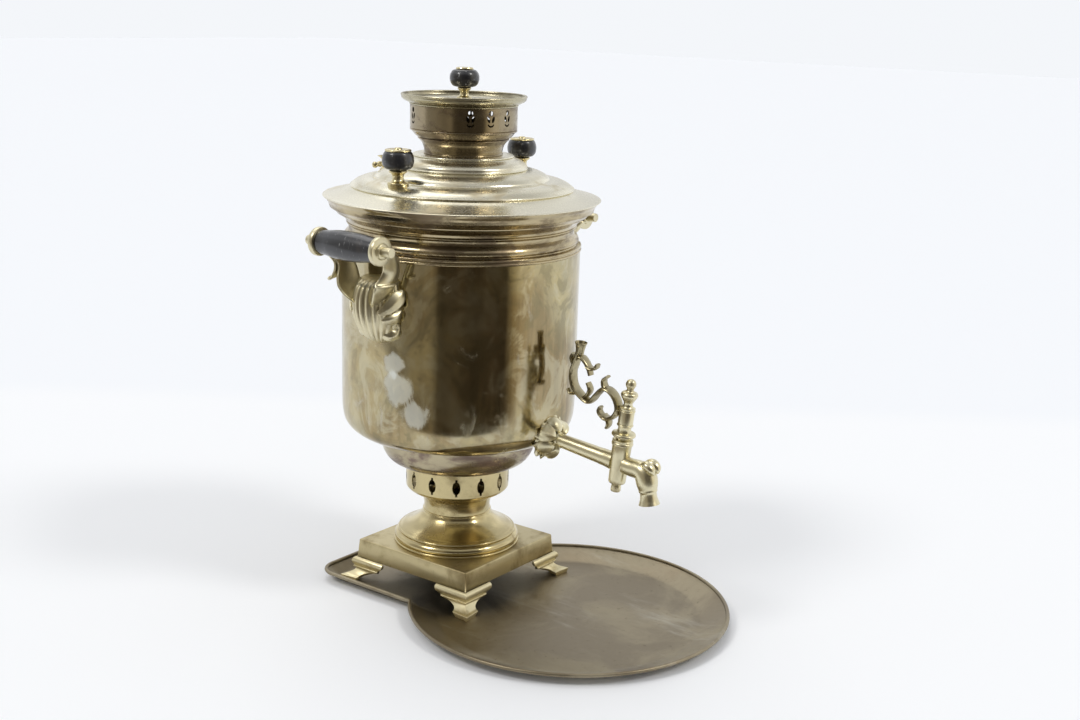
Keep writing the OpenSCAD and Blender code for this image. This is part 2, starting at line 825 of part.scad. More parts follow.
module tap_scroll() {
    lug_h = 6;
    lug_z = 0.455 * scroll_h;
    color([0.5, 0.46, 0.36])
        along_key()
            difference() {
                union() {
                    rotate([90, 0, 90])
                        linear_extrude(scroll_w, center = true)
                            scroll_outline();
                    translate([-scroll_w / 2, key_stem_r / 2, lug_z])
                        cube([scroll_w, 0.135 * scroll_l - key_stem_r / 2, lug_h]);
                }
                translate([0, 0, barrel_up])
                    cylinder(h = key_h, r = key_stem_r + wall_gap);
            }
}

// ---- handles ----

function stud_heights() = [neck_z - 52, neck_z - 34];

// Fan-shaped foot of a bracket, standing out from the body towards -X
module bracket_fan() {
    // shares of how far it stands out, of its half width and of its drop under the body's top edge
    rows = [
        [0.12, 0.19, 1], [0.31, 0.34, 0.93], [0.55, 0.53, 0.82], [0.78, 0.68, 0.685], [0.94, 0.83, 0.534],
        [1, 0.943, 0.384], [0.92, 1, 0.274]
    ];
    loft([for (i = rows)
        oval([4 - body_r, 0, neck_z - i[2] * bracket_drop], i[0] * shell_out + 4, i[1] * shell_w)]);
}

// One leaf-shaped arm, from the fan up to the disc on the side s
module bracket_arm(s) {
    eye = grip_half + disc_t / 2;
    away = grip_x - body_r;
    drop = bracket_drop + grip_rise;
    // shares of the way out to the grip, of the way along to the eye, of the drop, and of half the width
    // and half the thickness
    stations = [
        [0.37, 0.4, 0.504, 0.667, 1.25], [0.457, 0.56, 0.405, 0.889, 1.12], [0.506, 0.72, 0.306, 1, 1],
        [0.531, 0.827, 0.207, 0.926, 0.94], [0.642, 0.92, 0.119, 0.778, 0.94], [0.79, 1, 0.055, 0.593, 0.94]
    ];
    loft([for (i = stations)
        oval([-body_r - i[0] * away, s * i[1] * eye, grip_z - i[2] * drop], i[3] * arm_w, i[4] * arm_t)]);
}

// Bracket of the handle at -X
module bracket() {
    color([0.78, 0.7, 0.44])
        difference() {
            union() {
                bracket_fan();
                for (s = [-1, 1]) {
                    bracket_arm(s);
                    translate([-grip_x, s * (grip_half + disc_t / 2), grip_z])
                        rotate([90, 0, 0])
                            cylinder(h = disc_t - 2 * rest_gap, r = disc_r, center = true);
                }
                for (z = stud_heights())
                    translate([-body_r - 6, 0, z])
                        rotate([0, 90, 0])
                            cylinder(h = 18, r = stud_r);
            }
            difference() {
                body_solid(wall_gap);
                for (z = stud_heights())
                    translate([-body_r - 6, 0, z])
                        rotate([0, 90, 0])
                            cylinder(h = 18, r = stud_r);
            }
            translate([-grip_x, 0, grip_z])
                rotate([90, 0, 0]) {
                    cylinder(h = 400, r = rod_r + fit_gap, center = true);
                    cylinder(h = 2 * grip_half, r = grip_r + 2, center = true);
                }
        }
}

// Turned wooden grip at -X
module grip() {
    half = grip_half;
    e = grip_end_r;
    color([0.09, 0.085, 0.09])
        translate([-grip_x, 0, grip_z])
            rotate([90, 0, 0])
                difference() {
                    turned(concat(
                        [[e - 0.8, -half], [e, -half + 1]],
                        smooth([[e + 0.4, -half * 0.8], [grip_r - 0.7, -half * 0.4], [grip_r, 0],
                                [grip_r - 0.7, half * 0.4], [e + 0.4, half * 0.8]]),
                        [[e, half - 1], [e - 0.8, half]]));
                    cylinder(h = 3 * half, r = rod_r + fit_gap, center = true);
                }
}

// Brass rod through the grip at -X
module grip_rod() {
    half = grip_half + disc_t + rod_out;
    color([0.74, 0.66, 0.42])
        translate([-grip_x, 0, grip_z])
            rotate([90, 0, 0])
                turned([[rod_r - 0.8, -half], [rod_r, -half + 0.8], [rod_r, half - 0.8], [rod_r - 0.8, half]]);
}

// Nut on the stud at -X and the height z, inside the body
module stud_nut(z) {
    h = 3;
    color([0.6, 0.5, 0.3])
        translate([-body_r + sheet_t + rest_gap, 0, z])
            rotate([0, 90, 0])
                difference() {
                    cylinder(h = h, r = 2.1 * stud_r, $fn = 6);
                    translate([0, 0, -1])
                        cylinder(h = h + 2, r = stud_r + fit_gap);
                }
}

module on_right() {
    mirror([1, 0, 0])
        children();
}

// ---- lid ----

function lid_outline() = let (f = lid_r, c = collar_r, h = lid_h) concat(
    [[f, 0]],
    smooth([[f, 1], [f - 5, 1.9], [f - 12, 4], [f - 20, 6.6], [f - 25.4, 9.6]], 3),
    smooth([[f - 27.4, 11.4], [f - 31, 14.8], [f - 36, 17.4], [f - 43, 18.6], [f - ledge_in + 0.6, 19]], 3),
    smooth([[f - ledge_in - 0.6, 20.2], [f - 54, 23.6], [f - 60, 26.4], [f - 67, 27.8], [f - 72, 28.3]], 3),
    smooth([[c + 13.2, 29.6], [c + 12.6, 32.4], [c + 10, 35.2], [c + 6, 37.2], [c + 2.4, 38]], 3),
    [[c + 1.4, h - 1], [c, h], [lid_hole_r, h]]
);

// The skirt that keeps the lid in the middle, cut off inside the lid's own sheet
module lid_skirt() {
    f = lid_r;
    h = lid_h;
    difference() {
        ring(-skirt_h, waist_r - sheet_t - 2, waist_r - sheet_t - 1, skirt_h + h);
        rotate_extrude()
            polygon(concat([for (p = lid_outline()) [p[0], p[1] - sheet_t / 2]],
                [[0, h - sheet_t / 2], [0, 2 * h], [f + 9, 2 * h], [f + 9, -sheet_t / 2]]));
    }
}

module lid() {
    f = lid_r;
    color([0.84, 0.8, 0.64])
        translate([0, 0, lid_z]) {
            spun(lid_outline());
            ring(0, flare_r - seat_in, f - sheet_t / 2, sheet_t * 0.8);
            lid_skirt();
            bead(29, collar_r + 13, 0.8);
            bead(20, f - ledge_in - 0.8, 0.8);
        }
}

// Brass stem of a knob: foot disc, waist and cup, with the rod that holds the ball
module knob_stem(h, foot_r, cup_r, rod_top) {
    color([0.8, 0.7, 0.42])
        turned(concat(
            [[foot_r, 0], [foot_r, 1.4]],
            smooth([[foot_r - 2, 2.4], [cup_r * 0.8, h * 0.34], [cup_r * 0.64, h * 0.6], [cup_r, h - 1]], 3),
            [[cup_r, h], [knob_rod_r, h], [knob_rod_r, rod_top]]));
}

// Turned wooden ball, flattened, with the rod's bore
module knob_ball(h, r, foot, head) {
    color([0.08, 0.08, 0.085])
        difference() {
            turned(smooth([[foot, 0], [r * 0.82, h * 0.1], [r * 0.97, h * 0.3], [r, h * 0.52],
                           [r * 0.95, h * 0.78], [head, h]], 4));
            translate([0, 0, -1])
                cylinder(h = h + 2, r = knob_rod_r + fit_gap);
        }
}

// Brass button that closes a knob on top
module knob_button(r, h) {
    color([0.85, 0.77, 0.5])
        turned([[r - 1, 0], [r, 0.6], [r - 0.2, h - 0.6], [r - 1.6, h]]);
}

// Puts a knob's pieces on the lid at the side s
module at_knob(s, up) {
    translate([s * knob_x, 0, lid_flat_z + up])
        children();
}

// The space under the lid's upper face, grown a little, to fit a foot to its slope
module lid_solid(grow) {
    translate([0, 0, lid_z + grow])
        rotate_extrude()
            polygon(concat([[0, -9], [lid_r, -9]], lid_outline(), [[0, lid_h]]));
}

module lid_knob_stem(s) {
    color([0.8, 0.7, 0.42])
        difference() {
            at_knob(s, 0)
                union() {
                    knob_stem(stem_h, knob_foot_r, cup_r, stem_h + knob_h);
                    translate([0, 0, -4])
                        cylinder(h = 4.5, r = knob_foot_r);
                }
            lid_solid(wall_gap);
        }
}

module lid_knob(s) at_knob(s, stem_h) knob_ball(knob_h, knob_r, cup_r, button_r - 0.8);
module lid_knob_cap(s) at_knob(s, stem_h + knob_h) knob_button(button_r, button_h);

// ---- steam vent ----

module at_vent() {
    rotate([0, 0, vent_angle])
        translate([vent_x, 0, lid_flat_z])
            children();
}

module steam_vent() {
    r = steam_r;
    h = steam_h;
    color([0.82, 0.78, 0.6])
        difference() {
            at_vent()
                union() {
                    translate([0, 0, -3])
                        cylinder(h = 3.5, r = vent_foot_r);
                    turned(concat([[vent_foot_r, 0], [vent_foot_r, 0.8]],
                        smooth([[3.9, 1.6], [3.8, h * 0.46], [3.4, h * 0.7], [4.4, h * 0.85], [r, h - 0.8]], 3),
                        [[r, h]]));
                    translate([0, 0, vent_key_z])
                        rotate([90, 0, 0])
                            cylinder(h = 10, r = 3.2, center = true);
                }
            at_vent() {
                translate([0, 0, -4])
                    cylinder(h = h + 5, r = 1.2);
                translate([0, 0, h * 0.8])
                    cylinder(h = h * 0.2 + 1, r1 = 1.2, r2 = r - 0.4);
                translate([0, 0, vent_key_z])
                    rotate([90, 0, 0])
                        cylinder(h = 40, r = vent_plug_r + fit_gap, center = true);
            }
            lid_solid(wall_gap);
        }
}

module steam_vent_key() {
    p = vent_plug_r;
    color([0.6, 0.56, 0.44])
        at_vent()
            translate([0, 0, vent_key_z])
                rotate([-90, 0, 0])
                    difference() {
                        union() {
                            turned([[p, -5.4], [p, 8], [2.2, 9], [1.8, 10]]);
                            translate([0, 0, 9.4])
                                turned([[1.6, 0], [3, 0.8], [3, 3], [1.7, 4.2], [1.7, 5.2], [3.1, 6.4],
                                        [3.1, 9.4], [2.2, 10.4]]);
                        }
                        rotate([90, 0, 0])
                            cylinder(h = 20, r = 0.9, center = true);
                    }
}

// ---- crown and cap ----

module crown_foot() {
    r = crown_foot_r;
    g = gallery_r;
    h = crown_foot_h;
    color([0.56, 0.44, 0.27])
        translate([0, 0, crown_z]) {
            spun(concat([[r, 0]], smooth([[r + 0.4, 3], [r + 1, 6], [r + 2.4, 10], [r + 5.8, 14]], 3),
                smooth([[r + 6.6, 14.6], [r + 9.8, 17.6], [g - 2.4, h - 3.6]], 3),
                [[g - 0.4, h - 2.4], [g, h - 1.4], [g, h]]));
            ring(h - sheet_t, g - 5, g - sheet_t / 2);
        }
}

// The pierced figure: a round hole over two leaf-shaped cuts and a crescent
module piercing() {
    rotate([0, 90, 0]) {
        translate([-6.4, 0, 0])
            cylinder(h = 20, r = 2.3, center = true, $fn = 32);
        for (s = [-1, 1])
            translate([0.4, s * 2.6, 0])
                cylinder(h = 20, r = 1.7, center = true, $fn = 32);
        translate([5.6, 0, 0])
            cylinder(h = 20, r = 1.9, center = true, $fn = 32);
    }
}

module crown_gallery() {
    g = gallery_r;
    color([0.55, 0.45, 0.29])
        translate([0, 0, gallery_z])
            difference() {
                union() {
                    ring(0, g - sheet_t, g, gallery_h);
                    ring(0, g - 5, g - sheet_t / 2);
                    ring(gallery_h - sheet_t, g - 5, g - sheet_t / 2);
                }
                for (group = [0 : 2])
                    for (i = [-1 : 1])
                        rotate([0, 0, 249 + group * 120 + i * 22.5])
                            translate([g, 0, gallery_h * 0.52])
                                piercing();
            }
}

module crown_rim() {
    g = gallery_r;
    o = g + rim_out;
    color([0.6, 0.54, 0.36])
        translate([0, 0, rim_z]) {
            spun(concat([[g, 0]], smooth([[g + 1.6, 1.2], [g + 4.4, 3.2], [g + 7, 4.8], [o - 0.3, 5.8]], 3),
                [[o, 6.6], [o, rim_h]]));
            ring(0, g - 5, g);
        }
}

module cap_plate() {
    color([0.66, 0.6, 0.42])
        translate([0, 0, cap_z]) {
            ring(cap_rise, 0, cap_r);
            ring(0, cap_r - 3 - sheet_t, cap_r - 3, cap_rise + sheet_t / 2);
        }
}

module at_cap(up) {
    translate([0, 0, cap_z + cap_rise + sheet_t + up])
        children();
}

module cap_knob_stem() at_cap(0) knob_stem(cap_stem_h, cap_cup_r, cap_cup_r, cap_stem_h + knob_h);
module cap_knob() at_cap(cap_stem_h) knob_ball(knob_h, cap_knob_r, cap_cup_r, cap_button_r);
module cap_knob_cap() at_cap(cap_stem_h + knob_h) knob_button(cap_button_r, button_h);

tray();
plinth();
foot(0);  // foot_front_left
foot(90);  // foot_front_right
foot(180);  // foot_back_right
foot(270);  // foot_back_left
pedestal();
vent_ring();
bottom_bowl();
body_bottom();
body_shoulder();
body_wall();
top_ring();
fire_tube();
grate();
tap_tube();
tap_washer();
tap_nut();
tap_rosette();
tap_barrel();
tap_key();
tap_key_nut();
tap_scroll();
bracket();  // handle_bracket_left
on_right() bracket();  // handle_bracket_right
grip();  // handle_grip_left
on_right() grip();  // handle_grip_right
grip_rod();  // handle_rod_left
on_right() grip_rod();  // handle_rod_right
stud_nut(stud_heights()[0]);  // handle_nut_low_left
on_right() stud_nut(stud_heights()[0]);  // handle_nut_low_right
stud_nut(stud_heights()[1]);  // handle_nut_high_left
on_right() stud_nut(stud_heights()[1]);  // handle_nut_high_right
lid();
lid_knob_stem(-1);  // lid_knob_stem_left
lid_knob_stem(1);  // lid_knob_stem_right
lid_knob(-1);  // lid_knob_left
lid_knob(1);  // lid_knob_right
lid_knob_cap(-1);  // lid_knob_cap_left
lid_knob_cap(1);  // lid_knob_cap_right
steam_vent();
steam_vent_key();
crown_foot();
crown_gallery();
crown_rim();
cap_plate();
cap_knob_stem();
cap_knob();
cap_knob_cap();
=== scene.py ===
from math import atan2, cos, degrees, pi, radians, sin, sqrt

import bmesh
import bpy
from mathutils import Matrix, Vector
from mathutils.geometry import delaunay_2d_cdt


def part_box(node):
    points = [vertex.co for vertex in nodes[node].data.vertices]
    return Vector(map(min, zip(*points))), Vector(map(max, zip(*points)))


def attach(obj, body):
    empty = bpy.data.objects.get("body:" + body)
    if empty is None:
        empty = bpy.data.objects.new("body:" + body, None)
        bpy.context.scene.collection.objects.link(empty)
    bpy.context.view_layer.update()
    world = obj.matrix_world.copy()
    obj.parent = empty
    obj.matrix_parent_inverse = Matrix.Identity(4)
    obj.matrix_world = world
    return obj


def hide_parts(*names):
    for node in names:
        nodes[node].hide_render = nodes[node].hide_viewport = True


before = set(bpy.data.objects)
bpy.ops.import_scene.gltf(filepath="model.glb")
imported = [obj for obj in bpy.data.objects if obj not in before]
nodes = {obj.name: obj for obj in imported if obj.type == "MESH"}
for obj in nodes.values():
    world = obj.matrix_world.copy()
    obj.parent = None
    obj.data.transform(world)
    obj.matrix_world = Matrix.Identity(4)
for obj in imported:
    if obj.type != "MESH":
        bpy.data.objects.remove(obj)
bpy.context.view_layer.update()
mm = 0.001

# ---------------------------------------------------------------- camera
# A standing photographer, about a metre and a half away and a little above
# the lid, holds the camera slightly down and a touch out of level.
camera_data = bpy.data.cameras.new("camera")
camera_data.sensor_width = 36
camera_data.lens = 47.813
camera_data.clip_end = 60
camera = bpy.data.objects.new("camera", camera_data)
bpy.context.scene.collection.objects.link(camera)
bpy.context.scene.camera = camera
camera_place = (-1.07113, -0.88349, 0.5784)
camera_heading = radians(-53.791)
camera_down = radians(13.992)
camera_roll = radians(1.8178)
camera.matrix_world = (
    Matrix.Translation(camera_place)
    @ Matrix.Rotation(camera_heading, 4, "Z")
    @ Matrix.Rotation(radians(90) - camera_down, 4, "X")
    @ Matrix.Rotation(camera_roll, 4, "Z")
)

# ---------------------------------------------------------------- tray
# The drip tray is pressed from one brass sheet: square under the samovar,
# round under the tap. Its rim slopes up and is rolled over a wire. It has
# gone brown and blotchy, and water has left pale scuffs on its floor.


class Tint:
    """A number that changes over a surface. Sums and products of it add Math nodes."""

    def __init__(self, finish, socket):
        self.finish = finish
        self.socket = socket

    def math(self, operation, *values):
        return self.finish.node("ShaderNodeMath", {"operation": operation}, dict(enumerate(values)))

    def __add__(self, other):
        return self.math("ADD", self, other)

    __radd__ = __add__

    def __sub__(self, other):
        return self.math("SUBTRACT", self, other)

    def __rsub__(self, other):
        return self.math("SUBTRACT", other, self)

    def __mul__(self, other):
        return self.math("MULTIPLY", self, other)

    __rmul__ = __mul__

    def between(self, low, high):
        """0 below low, 1 above high, smooth in between."""
        settings = {"interpolation_type": "SMOOTHSTEP"}
        return self.finish.node("ShaderNodeMapRange", settings, {0: self, 1: low, 2: high})


class Finish:
    """A material. Its nodes read the piece's own coordinates, in metres."""

    def __init__(self, name, **surface):
        self.material = bpy.data.materials.new(name)
        self.material.use_nodes = True
        self.tree = self.material.node_tree
        self.shader = self.tree.nodes["Principled BSDF"]
        self.point = self.node("ShaderNodeTexCoord", {}, {}, "Object")
        self.set(**surface)

    def node(self, kind, settings, sockets, output=0):
        """Adds a node: first its settings, then the values or links of its sockets."""
        made = self.tree.nodes.new(kind)
        stops = settings.pop("stops", None)
        for name, value in settings.items():
            setattr(made, name, value)
        for place, (position, shade) in enumerate(stops or []):
            ramp = made.color_ramp.elements
            stop = ramp[place] if place < 2 else ramp.new(position)
            stop.position = position
            stop.color = (*shade, 1)
        for name, value in sockets.items():
            if isinstance(value, Tint):
                self.tree.links.new(value.socket, made.inputs[name])
            else:
                made.inputs[name].default_value = value
        return Tint(self, made.outputs[output])

    def set(self, **surface):
        """Sets the shader's own sockets, such as Base_Color or Roughness."""
        for name, value in surface.items():
            socket = self.shader.inputs[name.replace("_", " ")]
            if isinstance(value, Tint):
                self.tree.links.new(value.socket, socket)
            else:
                socket.default_value = value

    def cloud(self, size, detail=3, rough=0.55, stretch=(1, 1, 1), turn=(0, 0, 0), warp=0):
        """Soft patches about size metres across, from 0 to 1."""
        place = self.node("ShaderNodeMapping", {}, {"Vector": self.point, "Rotation": turn, "Scale": stretch})
        sockets = {"Vector": place, "Scale": 1 / size, "Detail": detail, "Roughness": rough,
                   "Distortion": warp}
        return self.node("ShaderNodeTexNoise", {}, sockets)

    def blend(self, amount, first, second, how="MIX"):
        """Colour first where amount is 0 and second where it is 1."""
        def shade(value):
            return value if isinstance(value, Tint) else (*value, 1)
        settings = {"data_type": "RGBA", "blend_type": how}
        sockets = {0: amount, 6: shade(first), 7: shade(second)}
        return self.node("ShaderNodeMix", settings, sockets, 2)

    def relief(self, height, depth, strength=1):
        """Bump of a height from 0 to 1 that stands depth metres high."""
        earlier = self.shader.inputs["Normal"].links
        sockets = {"Height": height, "Distance": depth, "Strength": strength}
        if earlier:
            sockets["Normal"] = Tint(self, earlier[0].from_socket)
        self.set(Normal=self.node("ShaderNodeBump", {}, sockets))


def bowed(points, steps=5):
    """A smooth curve through the points."""
    points = [Vector(p) for p in points]
    line = [2 * points[0] - points[1], *points, 2 * points[-1] - points[-2]]
    curve = []
    for a, b, c, d in zip(line, line[1:], line[2:], line[3:]):
        for step in range(steps):
            t = step / steps
            curve.append((2 * b + (c - a) * t + (2 * a - 5 * b + 4 * c - d) * t ** 2
                          + (3 * b - a - 3 * c + d) * t ** 3) / 2)
    return curve + [points[-1]]


def placed(name, mesh, body, finish, stands_for=(), crease=35):
    """Makes a finished bmesh into a piece that rides on a CAD body."""
    data = bpy.data.meshes.new(name)
    mesh.to_mesh(data)
    mesh.free()
    data.shade_smooth()
    data.set_sharp_from_angle(angle=radians(crease))
    piece = bpy.data.objects.new(name, data)
    bpy.context.scene.collection.objects.link(piece)
    data.materials.append(finish.material)
    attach(piece, body)
    if stands_for:
        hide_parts(*stands_for)
    return piece


def loop_of(mesh, points, closed=True):
    """New edges through the points, in a ring unless closed is False."""
    corners = [mesh.verts.new(p) for p in points]
    follow = corners[1:] + corners[:1] if closed else corners[1:]
    return [mesh.edges.new(pair) for pair in zip(corners, follow)]


tray_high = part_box("tray")[1]
tray_sheet = 1.2 * mm
edge_wire = 1.9 * mm
round_centre = -0.143
round_floor = 130 * mm
round_slope = 25 * mm
square_floor = 85 * mm
square_back = 91 * mm
square_slope = 12 * mm
corner_floor = 9 * mm


def keyhole(rise, out, z):
    """The tray's outline at a share of its rim's rise, moved out by a width."""
    radius = round_floor + round_slope * rise + out
    side = square_floor + square_slope * rise + out
    back = square_back + square_slope * rise + out
    corner = corner_floor + square_slope * rise + out
    reach = sqrt(radius ** 2 - side ** 2)
    start = degrees(atan2(reach, side))
    turns = [radians(start - (360 - 2 * (90 - start)) * k / 120) for k in range(121)]
    bowl = [(radius * cos(a), round_centre + radius * sin(a), z) for a in turns]
    notch = round_centre + reach
    flank = [notch + (back - corner - notch) * k / 12 for k in range(1, 12)]
    left = [(-side, y, z) for y in flank]
    bends = [radians(90 * k / 10) for k in range(11)]
    far_left = [(corner - side - corner * cos(a), back - corner + corner * sin(a), z) for a in bends]
    far_right = [(-x, y, z) for x, y, z in reversed(far_left)]
    return bowl + left + far_left + far_right + [(-x, y, z) for x, y, z in reversed(left)]


rim_top = tray_high.z - edge_wire
top_side = [(-0.12, 0, tray_sheet), (-0.05, 0, tray_sheet + 0.05 * mm), (0.03, 0, tray_sheet + 0.5 * mm)]
top_side += [(rise, 0, tray_sheet + (rim_top - tray_sheet) * rise) for rise in (0.12, 0.35, 0.65, 0.9)]
roll = [radians(200 - 30 * k) for k in range(11)]
rolled = [(1, edge_wire * (cos(a) - 0.2), rim_top + edge_wire * sin(a)) for a in roll]
under_side = [(rise, 0.4 * mm, rim_top * rise) for rise in (0.85, 0.6, 0.35, 0.12)]
under_side += [(0.03, 0, 0.2 * mm), (-0.05, 0, 0), (-0.12, 0, 0)]
tray_mesh = bmesh.new()
rings = [loop_of(tray_mesh, keyhole(*level)) for level in top_side + rolled + under_side]
for lower, upper in zip(rings, rings[1:]):
    bmesh.ops.bridge_loops(tray_mesh, edges=lower + upper)
for end in (rings[0], rings[-1]):
    bmesh.ops.contextual_create(tray_mesh, geom=end)
bmesh.ops.recalc_face_normals(tray_mesh, faces=tray_mesh.faces)

tray_brass = Finish("tray_brass", Metallic=1.0)
blotches = tray_brass.cloud(0.09, 5, 0.62, warp=0.6)
freckles = tray_brass.cloud(0.006, 4, 0.6)
streaks = tray_brass.cloud(0.05, 6, 0.7, stretch=(1, 0.25, 1), turn=(0, 0, 0.7))
worn = blotches.between(0.42, 0.62)
ground = tray_brass.blend(worn, (0.245, 0.205, 0.14), (0.37, 0.325, 0.235))
ground = tray_brass.blend(freckles.between(0.60, 0.76) * 0.4, ground, (0.12, 0.09, 0.055))
ground = tray_brass.blend(streaks.between(0.54, 0.76) * 0.6, ground, (0.52, 0.49, 0.41))
tray_brass.set(Base_Color=ground, Roughness=0.32 + 0.2 * worn + 0.1 * freckles)
tray_brass.relief(blotches, 0.9 * mm, 0.35)
tray_brass.relief(freckles, 0.12 * mm, 0.5)
placed("tray_sheet", tray_mesh, "tray", tray_brass, ["tray"], 50)

# ---------------------------------------------------------------- base
# The plinth is a square hollow casting with softened edges. Four moulded
# bracket feet are soldered under its corners; each has two wings that meet
# in a mitre, a hollow waist and a square toe.


def old_brass(name, metal, tarnish, share=0.5, patch=0.06, gloss=0.2, stretch=(1, 1, 1), pits=0.3, dents=0.5):
    """Polished brass that has gone dull in patches, with a little dirt in it."""
    finish = Finish(name, Metallic=1.0)
    patches = finish.cloud(patch, 5, 0.6, stretch, warp=0.4)
    grain = finish.cloud(0.004, 4, 0.65)
    scratches = finish.cloud(0.02, 5, 0.7, (1, 1, 14), (0.3, 0.2, 0))
    dull = patches.between(0.72 - share * 0.5, 0.92 - share * 0.5)
    shade = finish.blend(dull, metal, tarnish)
    shade = finish.blend(grain.between(0.6, 0.78) * pits, shade, [0.3 * c for c in tarnish])
    finish.set(Base_Color=shade, Roughness=gloss + 0.2 * dull + 0.12 * grain)
    finish.relief(patches, dents * mm, 0.25)
    finish.relief(scratches, 0.03 * mm, 0.5)
    return finish


def rows_joined(mesh, rows, closed=False):
    """Joins rows of new vertices into one sheet of faces."""
    lines = [loop_of(mesh, row, closed) for row in rows]
    for one, other in zip(lines, lines[1:]):
        bmesh.ops.bridge_loops(mesh, edges=one + other)


def walled(piece, thickness, bevel=0, offset=-1, even=True):
    """Gives a sheet its thickness, and its edges a small round."""
    wall = piece.modifiers.new("wall", "SOLIDIFY")
    wall.thickness = thickness
    wall.offset = offset
    wall.use_even_offset = even
    if bevel:
        soft = piece.modifiers.new("soft edges", "BEVEL")
        soft.width = bevel
        soft.segments = 2
        soft.limit_method = "ANGLE"
        soft.angle_limit = radians(40)
    return piece


plinth_low, plinth_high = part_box("plinth")
plinth_half = plinth_high.x
plinth_mesh = bmesh.new()
bmesh.ops.create_cube(plinth_mesh, size=1)
for corner in plinth_mesh.verts:
    side = plinth_half - (1.5 * mm if corner.co.z > 0 else 0)
    height = plinth_high.z if corner.co.z > 0 else plinth_low.z
    corner.co = (side * (1 if corner.co.x > 0 else -1), side * (1 if corner.co.y > 0 else -1), height)
bottom = [face for face in plinth_mesh.faces if face.normal.z < -0.9]
bmesh.ops.delete(plinth_mesh, geom=bottom, context="FACES_ONLY")
kept = [edge for edge in plinth_mesh.edges if not edge.is_boundary]
bmesh.ops.bevel(plinth_mesh, geom=kept, offset=1.3 * mm, segments=4, affect="EDGES", profile=0.5, material=-1)
cast_brass = old_brass("cast_brass", (0.56, 0.48, 0.28), (0.34, 0.27, 0.14), 0.45, 0.05, 0.3)
plinth = placed("plinth_casting", plinth_mesh, "urn", cast_brass, ["plinth"])
walled(plinth, 3.5 * mm)

foot_low, foot_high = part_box("foot_front_left")
foot_tall = foot_high.z - foot_low.z
foot_brass = old_brass("foot_brass", (0.74, 0.66, 0.42), (0.46, 0.38, 0.21), 0.35, 0.03, 0.3)
# Three measures of the face in millimetres: how far it stands out past the
# plinth, how far in from the plinth's corner a wing ends, and the height.
foot_face = [(10.9, 5.2, 0), (11.9, 7.7, 4.4)]
foot_face += bowed([(11.5, 7.9, 4.7), (8.2, 8.6, 5.5), (5.6, 9.8, 6.8), (3.6, 11.8, 8.1), (2.0, 15.6, 9.4),
                    (1.0, 20.6, 10.6), (0.8, 26.4, 11.4), (1.0, 28.4, 12.6)], 3)
foot_face += [(2.8, 28.9, 12.9), (2.9, 29.2, 13.7)]
foot_face += bowed([(2.1, 29.4, 14.2), (2.2, 30.6, 15.2), (3.0, 32.8, 16.4), (3.8, 35.0, 17.6),
                    (4.0, 36.0, 19.2),
                    (3.6, 36.4, 21.0), (2.4, 36.4, 22.6), (0.9, 36.0, foot_tall / mm)], 3)
ankle = 2.9
for foot_name, right, back in (("foot_front_left", 1, 1), ("foot_front_right", -1, 1),
                               ("foot_back_left", 1, -1), ("foot_back_right", -1, -1)):
    foot_mesh = bmesh.new()
    foot_rows = []
    for out, end, height in foot_face:
        tip = min(out, ankle + 0.75 * (out - ankle))
        face_at = -plinth_half - out * mm
        tip_at = -plinth_half - tip * mm
        end_at = -plinth_half + end * mm
        z = foot_low.z + height * mm
        corner = (face_at * right, face_at * back, z)
        foot_rows.append([(end_at * right, tip_at * back, z), corner, (tip_at * right, end_at * back, z)])
    rows_joined(foot_mesh, foot_rows)
    ankle_at = Vector((0, 0, foot_low.z))
    facing = sum(face.normal.dot(face.calc_center_median() - ankle_at) for face in foot_mesh.faces)
    if facing < 0:
        bmesh.ops.reverse_faces(foot_mesh, faces=foot_mesh.faces)
    foot = placed(foot_name + "_casting", foot_mesh, "urn", foot_brass, [foot_name])
    walled(foot, 3 * mm, 0.35 * mm)

# ---------------------------------------------------------------- pedestal
# Spun from sheet brass: a beaded flange on the plinth, a fat roll with a
# wire bead above it, and a bell that narrows to a neck under the vent ring.


def half_round(radius, z, size):
    """A bead of a moulding, as points of its outline in millimetres."""
    turns = [radians(-90 + 30 * k) for k in range(7)]
    return [(radius + size * cos(a), z + size * sin(a)) for a in turns]


def sheet_wall(outside, thickness):
    """The closed section of a sheet whose outer face is the outline, traced upwards."""
    points = [Vector(p) for p in outside]
    inside = []
    for before, here, after in zip([points[0], *points], points, [*points[1:], points[-1]]):
        along = (after - before).normalized()
        inner = here + Vector((-along.y, along.x)) * thickness
        if min((inner - p).length for p in points) > 0.8 * thickness:
            inside.append(inner)
    return points + inside[::-1]


def turned(section, base_z, steps=160, closed=True):
    """Spins a section of (radius, height) millimetres about the samovar's axis."""
    mesh = bmesh.new()
    edges = loop_of(mesh, [(r * mm, 0, base_z + z * mm) for r, z in section], closed)
    bmesh.ops.spin(mesh, geom=mesh.verts[:] + edges, cent=(0, 0, 0), axis=(0, 0, 1),
                   angle=2 * pi, steps=steps, use_merge=True)
    bmesh.ops.remove_doubles(mesh, verts=mesh.verts, dist=0.001 * mm)
    bmesh.ops.recalc_face_normals(mesh, faces=mesh.faces)
    return mesh


def spun(name, line, base_z, body, finish, stands_for=(), crease=40, steps=160):
    """A piece spun from sheet, whose outer face follows the line."""
    placed(name, turned(sheet_wall(line, sheet), base_z, steps), body, finish, stands_for, crease)


